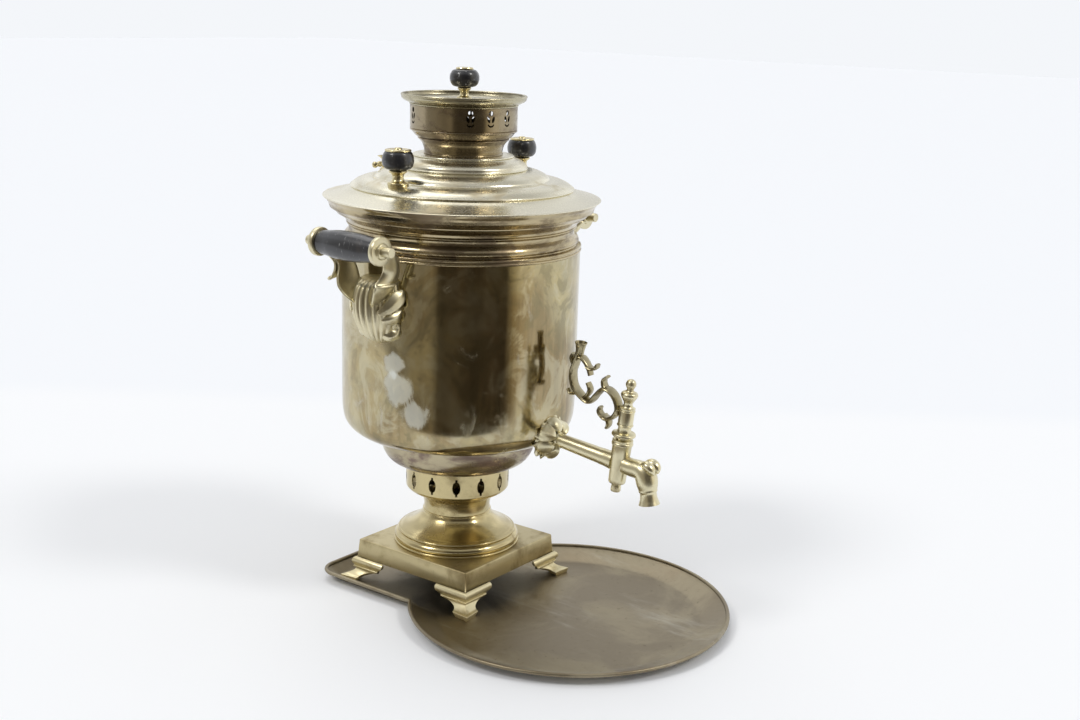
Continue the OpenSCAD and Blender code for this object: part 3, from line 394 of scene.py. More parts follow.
sheet = 1.1
spun_brass = old_brass("spun_brass", (0.58, 0.49, 0.27), (0.38, 0.30, 0.15), 0.4, 0.045, 0.13, pits=0.2,
                       dents=0.25)
pedestal_low, pedestal_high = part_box("pedestal")
pedestal_tall = (pedestal_high.z - pedestal_low.z) / mm
neck = 33.4
pedestal_line = [(61.8, 0), *half_round(62.6, 1.3, 1.2), (61.6, 2.7)]
pedestal_line += bowed([(61.9, 3.1), (62.9, 4.4), (63.0, 6.6), (61.6, 9.0), (59.6, 10.6)], 4)
pedestal_line += half_round(58.4, 12.1, 1.1)
pedestal_line += bowed([(57.2, 13.6), (54.6, 15.0), (50.2, 16.9), (45.4, 19.6), (41.0, 22.8), (37.6, 26.0),
                        (35.4, 28.8), (34.3, 31.2)], 4)
pedestal_line += half_round(neck + 0.5, 32.4, 0.7)
pedestal_line += bowed([(neck + 0.2, 33.4), (neck, 37.0), (neck + 0.3, 41.0), (neck + 1.3, pedestal_tall)], 3)
spun("pedestal_spun", pedestal_line, pedestal_low.z, "urn", spun_brass, ["pedestal"])

# ---------------------------------------------------------------- vent ring
# A strip of brass is pierced flat with air slots, each a pointed oval with
# a short stem above and below. It is rolled into a ring and soldered to a
# spun cup that carries it.


def pierced_strip(radius, base_z, top_z, thickness, holes, seam, steps=144):
    """A strip rolled into a ring, soldered at the seam's angle. Holes are loops of (angle, height)."""
    girth = 2 * pi * radius
    points = [(girth * k / steps, z) for k in range(steps + 1) for z in (base_z, top_z)]
    lines = [(2 * k, 2 * k + 1) for k in range(steps + 1)] + [(0, 2 * steps), (1, 2 * steps + 1)]
    loops = []
    for hole in holes:
        loop = [Vector(((turn - seam) % (2 * pi) * radius, z)) for turn, z in hole]
        if sum(a.cross(b) for a, b in zip(loop, loop[1:] + loop[:1])) < 0:
            loop.reverse()
        loops.append(range(len(points), len(points) + len(loop)))
        points += loop
    corners, _, pieces, _, _, cut = delaunay_2d_cdt([Vector(p) for p in points], lines, loops, 0, 1e-7)
    mesh = bmesh.new()
    for p in corners:
        turn = seam + p.x / radius
        mesh.verts.new((radius * cos(turn), radius * sin(turn), p.y))
    mesh.verts.ensure_lookup_table()
    for piece, holes_here in zip(pieces, cut):
        if not holes_here:
            mesh.faces.new([mesh.verts[k] for k in piece])
    bmesh.ops.remove_doubles(mesh, verts=mesh.verts, dist=0.002 * mm)
    bmesh.ops.delete(mesh, geom=[corner for corner in mesh.verts if not corner.link_faces], context="VERTS")
    for face in mesh.faces:
        middle = face.calc_center_median()
        if face.normal.x * middle.x + face.normal.y * middle.y < 0:
            face.normal_flip()
    skin = mesh.faces[:]
    rims = [(edge.link_loops[0].vert, edge.link_loops[0].link_loop_next.vert) for edge in mesh.edges
            if edge.is_boundary]
    share = 1 - thickness / radius
    inner = {corner: mesh.verts.new((corner.co.x * share, corner.co.y * share, corner.co.z))
             for corner in mesh.verts[:]}
    for face in skin:
        mesh.faces.new([inner[corner] for corner in reversed(face.verts)])
    for a, b in rims:
        mesh.faces.new((b, a, inner[a], inner[b]))
    return mesh


vent_low, vent_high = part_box("vent_ring")
vent = vent_high.x / mm
strip_low = 14.0
slot_count = 13
slot_first = radians(218.5)
slot_middle = vent_low.z + 24.9 * mm
slot_line = [(1.1, -8.9), (1.1, -6.4), (2.2, -5.9), (3.2, -4.6), (3.8, -2.4), (4.0, 0.2), (3.7, 2.8),
             (2.9, 4.7),
             (1.9, 5.9), (1.1, 6.3), (1.1, 8.7)]
slot_line += [(-x, z) for x, z in reversed(slot_line)]
slots = []
for number in range(slot_count):
    turn = slot_first + 2 * pi * number / slot_count
    slots.append([(turn + x / vent, slot_middle + z * mm) for x, z in slot_line])
half_pitch = pi / slot_count
vent_strip = pierced_strip(vent * mm, vent_low.z + strip_low * mm, vent_high.z, 1.2 * mm, slots,
                           slot_first + half_pitch)
placed("vent_ring_strip", vent_strip, "urn", spun_brass, ["vent_ring"], 40)
cup_line = bowed([(neck + 1.3, 0), (neck + 2.6, 3.0), (neck + 7.0, 6.3), (vent - 6.1, 8.9),
                  (vent - 2.4, 11.0),
                  (vent - 0.5, 13.2), (vent - 0.1, strip_low)], 4)
spun("vent_ring_cup", cup_line, vent_low.z, "urn", spun_brass)

# ---------------------------------------------------------------- bowl
# The round dish between the vent ring and the body, spun in one piece. It
# is darker than the base, with brown and violet heat colours from the fire.
bowl_low, bowl_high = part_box("bottom_bowl")
bowl = bowl_high.x / mm
bowl_tall = (bowl_high.z - bowl_low.z) / mm
bowl_line = [(vent - 0.6, 0), (vent + 1.2, 0.1)]
bowl_line += bowed([(vent + 2.6, 0.3), (vent + 6.5, 1.0), (vent + 11, 2.3), (bowl - 11.2, 4.2),
                    (bowl - 7.9, 6.7),
                    (bowl - 5.0, 10.2), (bowl - 2.5, 15.0), (bowl - 0.9, 20.8), (bowl - 0.1, 26.4)], 5)
bowl_line += [(bowl, bowl_tall - 2.4), *half_round(bowl - 0.7, bowl_tall - 1.1, 0.9)]
bowl_brass = old_brass("bowl_brass", (0.46, 0.40, 0.27), (0.22, 0.165, 0.135), 0.6, 0.05, 0.10, (1, 1, 2.5),
                       0.15, 0.2)
spun("bottom_bowl_spun", bowl_line, bowl_low.z, "urn", bowl_brass, ["bottom_bowl"])

# ---------------------------------------------------------------- body
# The water body: a straight cylinder whose bottom edge is spun in to a
# shoulder. Its old polish has brown stains, cloudy patches, fine vertical
# scratches and shallow dents.
fine = 224
wall_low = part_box("body_bottom")[0]
wall_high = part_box("body_wall")[1]
wall = wall_high.x / mm
wall_tall = (wall_high.z - wall_low.z) / mm
wall_line = [(bowl - 1.4, 0)]
wall_line += bowed([(bowl, 0.1), (wall - 32, 0.7), (wall - 24, 1.8), (wall - 17.5, 3.5), (wall - 12.3, 6.0),
                    (wall - 7.8, 9.2), (wall - 4.6, 12.8), (wall - 2.4, 17.0), (wall - 1.1, 22.2),
                    (wall - 0.35, 29.0), (wall, 38.0)], 6)
wall_line += [(wall, 38.0 + (wall_tall - 38.0) * k / 12) for k in range(1, 13)]
wall_brass = Finish("wall_brass", Metallic=1.0)
stains = wall_brass.cloud(0.09, 4, 0.6, (1, 1, 0.7), warp=0.5)
clouds = wall_brass.cloud(0.026, 6, 0.7, warp=0.6)
runs = wall_brass.cloud(0.010, 4, 0.6, (1, 1, 0.05))
hairs = wall_brass.cloud(0.0022, 3, 0.6, (1, 1, 0.04))
residue = wall_brass.cloud(0.034, 5, 0.6, (1, 1, 0.7), warp=1.2)
specks = wall_brass.cloud(0.0035, 3, 0.6)
polished = wall_brass.blend(clouds.between(0.35, 0.7), (0.53, 0.45, 0.25), (0.44, 0.39, 0.25))
brown = wall_brass.blend(runs.between(0.35, 0.68), (0.35, 0.265, 0.14), (0.22, 0.165, 0.09))
skin = wall_brass.blend(stains.between(0.40, 0.62) * 0.85, polished, brown)
# Pale and dark clouds that flow into each other, as on brass that was wiped and left.
marble = wall_brass.cloud(0.045, 5, 0.62, (1, 1, 0.8), warp=1.6)
skin = wall_brass.blend(marble.between(0.49, 0.58) * 0.4, skin, (0.62, 0.58, 0.42))
skin = wall_brass.blend((1 - marble.between(0.38, 0.46)) * 0.5, skin, (0.23, 0.20, 0.115))
matt = residue.between(0.60, 0.72)
skin = wall_brass.blend(matt * 0.4, skin, (0.62, 0.60, 0.52))
# Three smears of dried polish, left of the middle, each with its place and half width.
smears = [((-0.115, -0.015, 0.2502), 0.006), ((-0.114, -0.021, 0.226), 0.012),
          ((-0.1095, -0.038, 0.2035), 0.0105)]
dried = 0
for place, reach in smears:
    apart = wall_brass.node("ShaderNodeVectorMath", {"operation": "DISTANCE"},
                            {0: wall_brass.point, 1: place}, "Value")
    dried = dried + (1 - (apart + 0.03 * (residue - 0.5)).between(reach - 0.002, reach + 0.004))
skin = wall_brass.blend(dried * 0.6, skin, (0.70, 0.71, 0.64))
skin = wall_brass.blend(specks.between(0.68, 0.8) * 0.3, skin, (0.16, 0.11, 0.06))
dullness = 0.08 + 0.07 * clouds.between(0.4, 0.7) + 0.08 * hairs + 0.2 * matt + 0.25 * dried
wall_brass.set(Base_Color=skin, Roughness=dullness, Metallic=1 - 0.45 * dried)
wall_brass.relief(stains, 0.25 * mm, 0.25)
wall_brass.relief(hairs, 0.02 * mm, 0.5)
wall_brass.relief(specks, 0.02 * mm, 0.4)
spun("body_wall_spun", wall_line, wall_low.z, "urn", wall_brass,
     ["body_bottom", "body_shoulder", "body_wall"], 40, fine)

# ---------------------------------------------------------------- top ring
# The moulded neck of the body: two wire beads, a roll, a waist, and a flare
# in steps up to the seat of the lid. Its brass has gone dark in patches.
ring_low, ring_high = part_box("top_ring")
ring_tall = (ring_high.z - ring_low.z) / mm
flare = ring_high.x / mm
waist = 109.4
ring_line = [(wall, 0), *half_round(wall - 0.2, 1.5, 1.2), (wall - 0.4, 3.1),
             *half_round(wall - 0.3, 5.0, 1.2)]
ring_line += bowed([(wall - 3.8, 6.8), (wall - 4.0, 7.8), (wall - 2.4, 9.0), (wall - 1.8, 11.4),
                    (wall - 3.0, 14.0),
                    (waist + 1.6, 16.2), (waist + 0.2, 17.6)], 4)
ring_line += bowed([(waist, 19.4), (waist + 0.6, 21.4), (waist + 1.8, 23.0)], 3)
ring_line += half_round(waist + 1.5, 24.0, 0.8)
ring_line += bowed([(waist + 2.0, 25.2), (waist + 4.0, 28.4), (waist + 7.6, 31.4), (waist + 11.0, 33.6)], 4)
ring_line += [(waist + 11.8, 33.8), (waist + 12.0, 34.6)]
ring_line += bowed([(waist + 12.2, 34.8), (waist + 15.2, 37.2), (waist + 17.2, 38.8)], 3)
ring_line += [(waist + 18.2, 39.0), (waist + 18.3, 39.8)]
ring_line += bowed([(waist + 18.6, 40.0), (waist + 19.8, 43.6), (waist + 21.8, 46.2),
                    (flare - 0.4, ring_tall)], 4)
rim_brass = old_brass("rim_brass", (0.50, 0.42, 0.26), (0.20, 0.155, 0.10), 0.55, 0.05, 0.11, (1, 1, 3), 0.15,
                      0.2)
spun("top_ring_spun", ring_line, ring_low.z, "urn", rim_brass, ["top_ring"], 35, fine)

# ---------------------------------------------------------------- lid
# The lid is spun from pale brass in steps: a broad slope, a roll, a dome
# with a bead round its foot, and the flat collar that the crown stands on.
lid_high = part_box("lid")[1]
lid = lid_high.x / mm
lid_base = ring_high.z
lid_tall = (lid_high.z - lid_base) / mm
collar = 48.0
lid_hole = 34.5
lid_line = [(lid - 0.9, 0), (lid - 0.1, 0.3), (lid, 0.8)]
lid_line += bowed([(lid - 0.6, 1.2), (lid - 5, 2.0), (lid - 12, 3.9), (lid - 20, 6.4), (lid - 25.6, 9.0)], 5)
lid_line += half_round(lid - 27.2, 10.6, 0.9)
lid_line += bowed([(lid - 27.6, 12.0), (lid - 31.5, 14.9), (lid - 37, 17.3), (lid - 43, 18.5),
                   (lid - 49.6, 18.9)], 5)
lid_line += bowed([(lid - 50.8, 19.6), (lid - 51.8, 21.2), (lid - 55.0, 23.8), (lid - 60.5, 26.2),
                   (lid - 66.6, 27.5),
                   (lid - 71.4, 28.0)], 4)
lid_line += half_round(collar + 13.6, 29.0, 0.8)
lid_line += bowed([(collar + 13.4, 30.2), (collar + 12.4, 32.8), (collar + 9.6, 35.4), (collar + 5.8, 37.2),
                   (collar + 2.6, 38.2)], 4)
lid_line += [(collar + 1.6, 39.2), *half_round(collar, lid_tall - 1.2, 0.9), (collar - 1, lid_tall),
             (lid_hole, lid_tall)]
lid_brass = old_brass("lid_brass", (0.80, 0.76, 0.61), (0.62, 0.55, 0.39), 0.40, 0.05, 0.2, (1, 1, 3), 0.06,
                      0.12)
spun("lid_spun", lid_line, lid_base, "lid", lid_brass, ["lid"], 35, fine)
skirt_line = [(106.4, -8), (107.2, -8), (107.2, 10.2), (106.4, 10.4)]
placed("lid_skirt", turned(skirt_line, lid_base), "lid", lid_brass)

# ---------------------------------------------------------------- knobs
# Two flattened balls of black turned wood lift the lid and a third lifts
# the cap. Each is clamped between a brass stem and a brass button by a rod.
# The black has worn thin in patches, and its scratches show pale.


def lathe(outline, steps=72):
    """A solid turned about its own upright axis. The outline runs up beside the axis."""
    return turned([(0, outline[0][1]), *outline, (0, outline[-1][1])], 0, steps, closed=False)


def moved(mesh, place=(0, 0, 0), turn=Matrix()):
    """The same mesh, turned and then moved to its place."""
    mesh.transform(Matrix.Translation(place) @ turn)
    return mesh


def lathed(node, line, place, body, finish, crease=45, turn=Matrix(), steps=72):
    """The turned piece that stands for a CAD node."""
    mesh = moved(lathe(line, steps), place, turn)
    placed(node + "_turned", mesh, body, finish, [node], crease)


def worn_wood(name, along):
    """Black turned wood with its grain drawn out along one direction."""
    wood = Finish(name, Specular_IOR_Level=0.6, Coat_Roughness=0.07)
    grain = wood.cloud(0.0022, 5, 0.7, along)
    rubbed = wood.cloud(0.018, 5, 0.65, warp=0.5)
    scars = wood.cloud(0.006, 4, 0.75, (1, 2.4, 0.6), (0.5, 0.3, 0.2))
    shade = wood.blend(grain, (0.005, 0.006, 0.010), (0.014, 0.014, 0.018))
    shade = wood.blend(rubbed.between(0.56, 0.74) * 0.5, shade, (0.045, 0.034, 0.03))
    shade = wood.blend(scars.between(0.60, 0.68) * 0.75, shade, (0.34, 0.34, 0.33))
    wood.set(Base_Color=shade, Roughness=0.22 + 0.22 * rubbed + 0.1 * grain, Coat_Weight=0.9 - 0.6 * rubbed)
    wood.relief(grain, 0.08 * mm, 0.6)
    wood.relief(scars, 0.25 * mm, 0.5)
    return wood


knob_wood = worn_wood("black_wood_knobs", (1, 1, 0.3))
knob_brass = old_brass("knob_brass", (0.72, 0.63, 0.38), (0.44, 0.35, 0.17), 0.35, 0.02, 0.18, pits=0.2)
stem_line = [(8.8, -4.2), (9.5, -0.3), (9.9, 0.5), (9.9, 1.5), (9.2, 2.2)]
stem_line += bowed([(8.4, 2.4), (6.4, 3.4), (5.4, 5.2), (5.2, 7.2), (5.9, 9.4), (7.4, 10.8)], 4)
stem_line += [(7.8, 11.0), (8.4, 11.5), (8.5, 12.2), (8.2, 12.9), (7.4, 13.5)]
ball_line = bowed([(7.4, 0), (11.4, 1.0), (13.9, 3.9), (14.7, 7.9), (14.5, 11.2), (13.5, 14.6), (12.3, 16.4)],
                  6)
ball_line += [(11.6, 16.8)]
button_line = [(10.9, -0.1), (11.9, 0.2), (12.2, 0.9), (11.9, 1.6), (10.9, 2.0), (8.9, 2.1), (8.6, 1.9),
               (3.8, 2.1),
               (3.5, 2.9), (2.4, 3.4)]
lid_flat = lid_base + 19.0 * mm
for side in ("left", "right"):
    wood_low, wood_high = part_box("lid_knob_" + side)
    knob_at = (wood_low.x + wood_high.x) / 2
    lathed("lid_knob_stem_" + side, stem_line, (knob_at, 0, lid_flat), "lid", knob_brass)
    lathed("lid_knob_" + side, ball_line, (knob_at, 0, wood_low.z), "lid", knob_wood, 60)
    lathed("lid_knob_cap_" + side, button_line, (knob_at, 0, wood_high.z), "lid", knob_brass)

# ---------------------------------------------------------------- steam vent
# A little trumpet on the back of the lid lets the steam out. A plug with a
# turned handle runs across it and shuts it.
vent_turn = Matrix.Rotation(radians(100), 4, "Z")
vent_place = vent_turn @ Vector((lid * mm - 45.4 * mm, 0, lid_flat))
trumpet_line = [(4.4, -2.9), (5.0, 0), (5.2, 0.7), (4.7, 1.3)]
trumpet_line += bowed([(4.2, 1.6), (3.4, 2.5), (3.1, 3.6), (3.9, 4.8), (4.1, 6.4), (3.8, 8.0), (2.9, 9.2),
                       (3.2, 10.6),
                       (4.6, 12.0), (6.6, 13.2)], 4)
trumpet_line += [(7.2, 13.5), (7.3, 13.9), (6.8, 14.0), (5.2, 12.9), (3.4, 11.4), (1.6, 9.0), (1.5, 5.0)]
placed("steam_vent_trumpet", moved(lathe(trumpet_line), vent_place), "lid", knob_brass,
       ["steam_vent"], 45)
plug_line = [(1.7, -5.4), (2.1, -5.0), (2.1, -4.4), (1.75, -4.2), (1.75, 3.4), (1.8, 5.6), (2.4, 7.4)]
plug_line += bowed([(2.5, 8.0), (2.9, 9.6), (2.5, 11.2), (1.7, 12.4), (1.6, 14.0), (2.2, 15.4), (3.0, 17.0),
                    (2.9, 18.6),
                    (1.6, 19.8)], 4)
plug_place = vent_place + Vector((0, 0, 6.4 * mm))
plug_turn = vent_turn @ Matrix.Rotation(radians(-90), 4, "X")
lathed("steam_vent_key", plug_line, plug_place, "vent_key", knob_brass, 45, plug_turn)

# ---------------------------------------------------------------- crown
# The stand for the teapot: a spun foot, a gallery pierced in three places,
# and a dished rim with a wired edge. Heat has turned it brown.
crown_brass = old_brass("crown_brass", (0.35, 0.29, 0.19), (0.20, 0.155, 0.11), 0.5, 0.03, 0.13, (1, 1, 2),
                        0.15, 0.2)
plate_brass = old_brass("plate_brass", (0.50, 0.46, 0.33), (0.33, 0.30, 0.22), 0.5, 0.03, 0.2, pits=0.15,
                        dents=0.2)
foot_of_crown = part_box("crown_foot")[0]
gallery_low, gallery_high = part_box("crown_gallery")
gallery = gallery_high.x / mm
crown_ring = foot_of_crown.z
crown_tall = (gallery_low.z - crown_ring) / mm
narrow = 37.3
crown_line = [(narrow + 0.4, 0), *half_round(narrow + 0.2, 0.8, 0.7), (narrow, 1.7)]
crown_line += bowed([(narrow + 0.3, 3), (narrow + 0.9, 6), (narrow + 2.4, 10), (narrow + 5.4, 13.6)], 4)
crown_line += half_round(narrow + 5.9, 14.8, 0.8)
crown_line += bowed([(narrow + 6.6, 15.8), (narrow + 9.0, 17.4), (narrow + 11.2, 20.0),
                     (narrow + 12.4, 21.6)], 4)
crown_line += [*half_round(gallery - 0.6, crown_tall - 1.5, 0.8), (gallery, crown_tall)]
spun("crown_foot_spun", crown_line, crown_ring, "crown", crown_brass, ["crown_foot"])

gallery_middle = gallery_low.z + 11.2 * mm
full_turn = [2 * pi * k / 20 for k in range(20)]
lean = 0.3
cuts = []
for group in range(3):
    for place in (-1, 0, 1):
        centre = radians(249 + 120 * group + 22.5 * place)
        round_hole = [(2.4 * cos(a), 6.3 + 2.4 * sin(a)) for a in full_turn]
        crescent = [(3.7 * cos(a), -3.0 + 3.7 * sin(a)) for a in [radians(200 + 14 * k) for k in range(11)]]
        crescent += [(3.0 * cos(a), -2.2 + 2.9 * sin(a)) for a in [radians(335 - 13 * k) for k in range(11)]]
        figure = [round_hole, crescent]
        for side in (-1, 1):
            petal = []
            for a in full_turn:
                across, up = 1.45 * cos(a), 3.1 * sin(a)
                x = 2.45 + across * cos(lean) + up * sin(lean)
                petal.append((side * x, 0.5 + up * cos(lean) - across * sin(lean)))
            figure.append(petal)
        for hole in figure:
            cuts.append([(centre + x / gallery, gallery_middle + z * mm) for x, z in hole])
gallery_strip = pierced_strip(gallery * mm, gallery_low.z, gallery_high.z, sheet * mm, cuts, radians(-51))
placed("crown_gallery_strip", gallery_strip, "crown", crown_brass, ["crown_gallery"], 40)

rim_low, rim_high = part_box("crown_rim")
edge = rim_high.x / mm
rim_tall = (rim_high.z - rim_low.z) / mm
rim_line = [(gallery - 0.6, 0), *half_round(gallery - 0.1, 1.0, 0.8)]
rim_line += bowed([(gallery + 0.9, 2.0), (gallery + 3.6, 3.1), (gallery + 6.4, 4.6), (edge - 1.0, 6.4),
                   (edge - 0.7, 8.2)], 4)
wire = [radians(-110 + 25 * k) for k in range(12)]
rim_line += [(edge - 1.3 + 1.2 * cos(a), rim_tall - 1.3 + 1.2 * sin(a)) for a in wire]
spun("crown_rim_spun", rim_line, rim_low.z, "crown", plate_brass, ["crown_rim"])

# ---------------------------------------------------------------- cap
# A flat plate with a raised ring closes the crown. It has its own knob.
cap_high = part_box("cap_plate")[1]
cap = cap_high.x / mm
plate_line = [(cap - 3, -4.6), (cap - 2.6, -4.6), (cap - 2.4, -1.4), (cap - 0.4, -1.2), (cap, -0.7),
              (cap - 0.4, -0.1)]
plate_line += [(cap - 7, 0), (cap - 7.8, 0.5), (cap - 8.8, 0.7), (cap - 9.8, 0.4), (cap - 10.4, 0), (16, 0.1),
               (14.5, 0.8), (13, 1.0)]
placed("cap_plate_spun", moved(lathe(plate_line, 128), (0, 0, cap_high.z)), "cap", plate_brass,
       ["cap_plate"], 35)
cap_stem_line = [(7.0, 0.4), (7.4, 1.2), (6.9, 2.0)]
cap_stem_line += bowed([(6.3, 2.3), (4.8, 3.4), (4.2, 5.2), (4.4, 7.2), (5.6, 8.8)], 4)
cap_stem_line += [(6.3, 9.2), (6.6, 9.9), (6.3, 10.7), (5.8, 11)]
cap_wood_low, cap_wood_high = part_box("cap_knob")
cap_ball_line = bowed([(5.8, 0), (10.6, 1.2), (13.2, 4.2), (14.2, 8.4), (13.6, 12.4), (11.4, 15.6),
                       (8.6, 16.8)], 6)
lathed("cap_knob_stem", cap_stem_line, (0, 0, cap_high.z), "cap", knob_brass)
lathed("cap_knob", cap_ball_line, (0, 0, cap_wood_low.z), "cap", knob_wood, 60)
cap_button_line = [(7.4, -0.1), (8.2, 0.2), (8.4, 0.9), (8.0, 1.6), (6.4, 2.0), (3.2, 2.1)]
lathed("cap_knob_cap", cap_button_line, (0, 0, cap_wood_high.z), "cap", knob_brass)

# ---------------------------------------------------------------- handles
# Two cast brackets, each a fluted shell on the body with leaves that lie
# back to the wall and two broad cupped arms. The arms end in discs, and a
# brass rod through the discs carries a turned wooden grip.


def eased(values, steps):
    """Numbers that run smoothly through the values."""
    return [p.x for p in bowed([(value, 0) for value in values], steps)]


def leaf(spine, widths, back, curl, rib=0.0, across=8, steps=4):
    """Rows of points of a leaf, along a spine and as wide to each side as widths say.

    Its middle stands out towards back, and its two edges curl away from it."""
    line = bowed(spine, steps)
    half = eased(widths, steps)
    rows = []
    for before, here, after, width in zip([line[0], *line], line, [*line[1:], line[-1]], half):
        along = (after - before).normalized()
        out = (Vector(back) - along * along.dot(Vector(back))).normalized()
        side = along.cross(out)
        row = []
        for place in range(across + 1):
            t = 2 * place / across - 1
            stand = -curl * t * t + rib * max(0, 1 - 3 * abs(t))
            row.append((here + side * width * t + out * stand * width) * mm)
        rows.append(row)
    return rows


def between_edges(outer, inner, way, swell, across=8, steps=4):
    """Rows of points from an outer edge to a wall-side edge, bulging away from the grip's middle."""
    rows = []
    for one, other in zip(bowed(outer, steps), bowed(inner, steps)):
        row = []
        for place in range(across + 1):
            t = place / across
            spot = one.lerp(other, t)
            row.append(Vector((spot.x, way * (spot.y + swell * 4 * t * (1 - t)), spot.z)) * mm)
        rows.append(row)
    return rows


shell_base = 268.5


def shell_rows(across=66, steps=4):
    """The fluted shell: it rolls out from the body at its top and narrows down to a tip."""
    profile = bowed([(1, 0), (8, 3), (15.5, 9), (21, 17), (24.4, 27), (25.6, 38), (24.6, 48), (21, 55.5),
                     (14, 59.5),
                     (5, 60.5), (0.5, 60.6)], steps)
    widths = eased((2, 9, 15.5, 20, 22.6, 23.4, 22.4, 20.6, 19.6, 19.4, 19.4), steps)
    rows = []
    for step, (spot, half) in enumerate(zip(profile, widths)):
        share = step / (len(profile) - 1)
        row = []
        for place in range(across + 1):
            a = pi * (place / across - 0.5)
            flute = 0.05 * cos(22 * a) * min(1, 5 * share, 4 * (1 - share))
            y = half * sin(a) * (1 + 0.5 * flute)
            x = -sqrt((wall - 0.6) ** 2 - y * y) - spot.x * max(cos(a), 0) ** 0.8 * (1 + flute)
            row.append(Vector((x, y, shell_base + spot.y)) * mm)
        rows.append(row)
    return rows


def bracket_mesh(right):
    """A handle's casting: the shell, two straps and three leaves on each of its flanks."""
    mesh = bmesh.new()
    rows_joined(mesh, shell_rows())
    for way in (-1, 1):
        # The lower strap, then the upper one that laps over it and rolls out in a lip.
        outer = [(-151, 37.4, 357), (-147, 32.4, 349), (-143, 27.4, 341), (-147.4, 24.6, 331),
                 (-149, 22, 323),
                 (-146.5, 18.4, 316.6), (-142, 12.6, 310), (-136, 6, 304)]
        inner = [(-134, 37.4, 357), (-126, 31.6, 349), (-121, 26.4, 341), (-119.4, 23.4, 332),
                 (-120, 20.4, 324),
                 (-121.4, 16.4, 316), (-122.6, 11, 309), (-124, 5, 303)]
        rows_joined(mesh, between_edges(outer, inner, way, 2.6))
        outer = [(-153.5, 38.4, 360), (-150.4, 34.4, 352), (-145.6, 30, 344.4), (-146.4, 28, 338),
                 (-152, 26.6, 331.4),
                 (-153.4, 28.6, 328.6), (-152.6, 31.4, 329.6)]
        inner = [(-140.5, 38.4, 360), (-131, 34.2, 352), (-124.4, 30, 344), (-121.4, 27, 337),
                 (-121.4, 25, 331.6),
                 (-122, 27, 330), (-122.6, 29, 331.6)]
        rows_joined(mesh, between_edges(outer, inner, way, 5.2, 10))
        # Three pointed leaves that lie back to the wall.
        upper = [(-137, way * 16.5, 300.5), (-132, way * 22.4, 305), (-125, way * 26, 311),
                 (-118.6, way * 27, 316.6),
                 (-113.6, way * 25.8, 320.8)]
        rows_joined(mesh, leaf(upper, (2.4, 5.4, 7.4, 6.8, 0.7), (-0.5, way, 0.2), 0.22, 0.1))
        middle = [(-133, way * 17, 294), (-127, way * 22.4, 295.6), (-120.4, way * 24.8, 297.4),
                  (-114, way * 24.4, 301.8)]
        rows_joined(mesh, leaf(middle, (3.0, 6.2, 6.0, 0.6), (-0.4, way, 0.1), 0.5, 0.14))
        lower = [(-127, way * 12, 280.4), (-122.6, way * 18.4, 277.4), (-117.4, way * 21.6, 279.6),
                 (-115, way * 21.6, 284.8),
                 (-118, way * 21.6, 288)]
        rows_joined(mesh, leaf(lower, (3.0, 5.6, 5.4, 4.0, 0.9), (-0.5, way, -0.3), 0.5, 0.14))
    if right:
        mesh.transform(Matrix.Diagonal((-1, 1, 1, 1)))
    bmesh.ops.recalc_face_normals(mesh, faces=mesh.faces)
    return mesh


def rounded(piece):
    """Rounds a casting's corners."""
    softer = piece.modifiers.new("round", "SUBSURF")
    softer.levels = 1
    softer.render_levels = 1


handle_brass = old_brass("handle_brass", (0.72, 0.66, 0.46), (0.46, 0.40, 0.26), 0.35, 0.03, 0.3, pits=0.2)
grip_wood = worn_wood("black_wood_grips", (1, 0.2, 1))
along_grip = Matrix.Rotation(radians(-90), 4, "X")
disc_line = [(5.0, -3.4), (11.6, -3.5), (12.8, -3.1), (13.2, -2.3), (13.2, 0.9), (12.9, 1.6), (12.2, 1.9),
             (7.6, 1.9),
             (7.3, 2.4), (7.1, 3.4), (6.4, 3.9), (4.6, 4.0)]
for side, right in (("left", False), ("right", True)):
    bracket = placed("handle_bracket_" + side + "_casting", bracket_mesh(right), "urn",
                     handle_brass,
                     ["handle_bracket_" + side], 60)
    walled(bracket, 2.2 * mm, offset=0, even=False)
    rounded(bracket)
    grip_low, grip_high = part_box("handle_grip_" + side)
    grip_at = (grip_low + grip_high) / 2
    grip_half = (grip_high.y - grip_low.y) / 2 / mm
    for way in (-1, 1):
        disc_at = grip_at + Vector((0, way * (grip_half + 3.6) * mm, 0))
        facing = Matrix.Rotation(radians(-90 * way), 4, "X")
        disc_name = "handle_disc_" + side + ("_front" if way < 0 else "_back")
        placed(disc_name, moved(lathe(disc_line), disc_at, facing), "urn", handle_brass, (),
               40)
    grip_line = [(9.6, 0), (10.5, 0.5), (10.9, 1.6)]
    grip_line += bowed([(11.0, 2.4), (11.6, 9), (12.9, 20), (13.5, grip_half), (12.9, 2 * grip_half - 20),
                        (11.6, 2 * grip_half - 9), (11.0, 2 * grip_half - 2.4)], 6)
    grip_line += [(10.9, 2 * grip_half - 1.6), (10.5, 2 * grip_half - 0.5), (9.6, 2 * grip_half)]
    grip_foot = grip_at - Vector((0, grip_half * mm, 0))
    lathed("handle_grip_" + side, grip_line, grip_foot, "urn", grip_wood, 60, along_grip)
    rod_low, rod_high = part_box("handle_rod_" + side)
    rod_long = (rod_high.y - rod_low.y) / mm
    rod_line = [(3.6, 0), (4.3, 0.1), (4.5, 0.5), (4.55, 1.2), (4.55, rod_long - 1.2), (4.5, rod_long - 0.5),
                (4.3, rod_long - 0.1), (3.6, rod_long)]
    rod_foot = (grip_at.x, rod_low.y, grip_at.z)
    lathed("handle_rod_" + side, rod_line, rod_foot, "urn", handle_brass, 40, along_grip, 48)

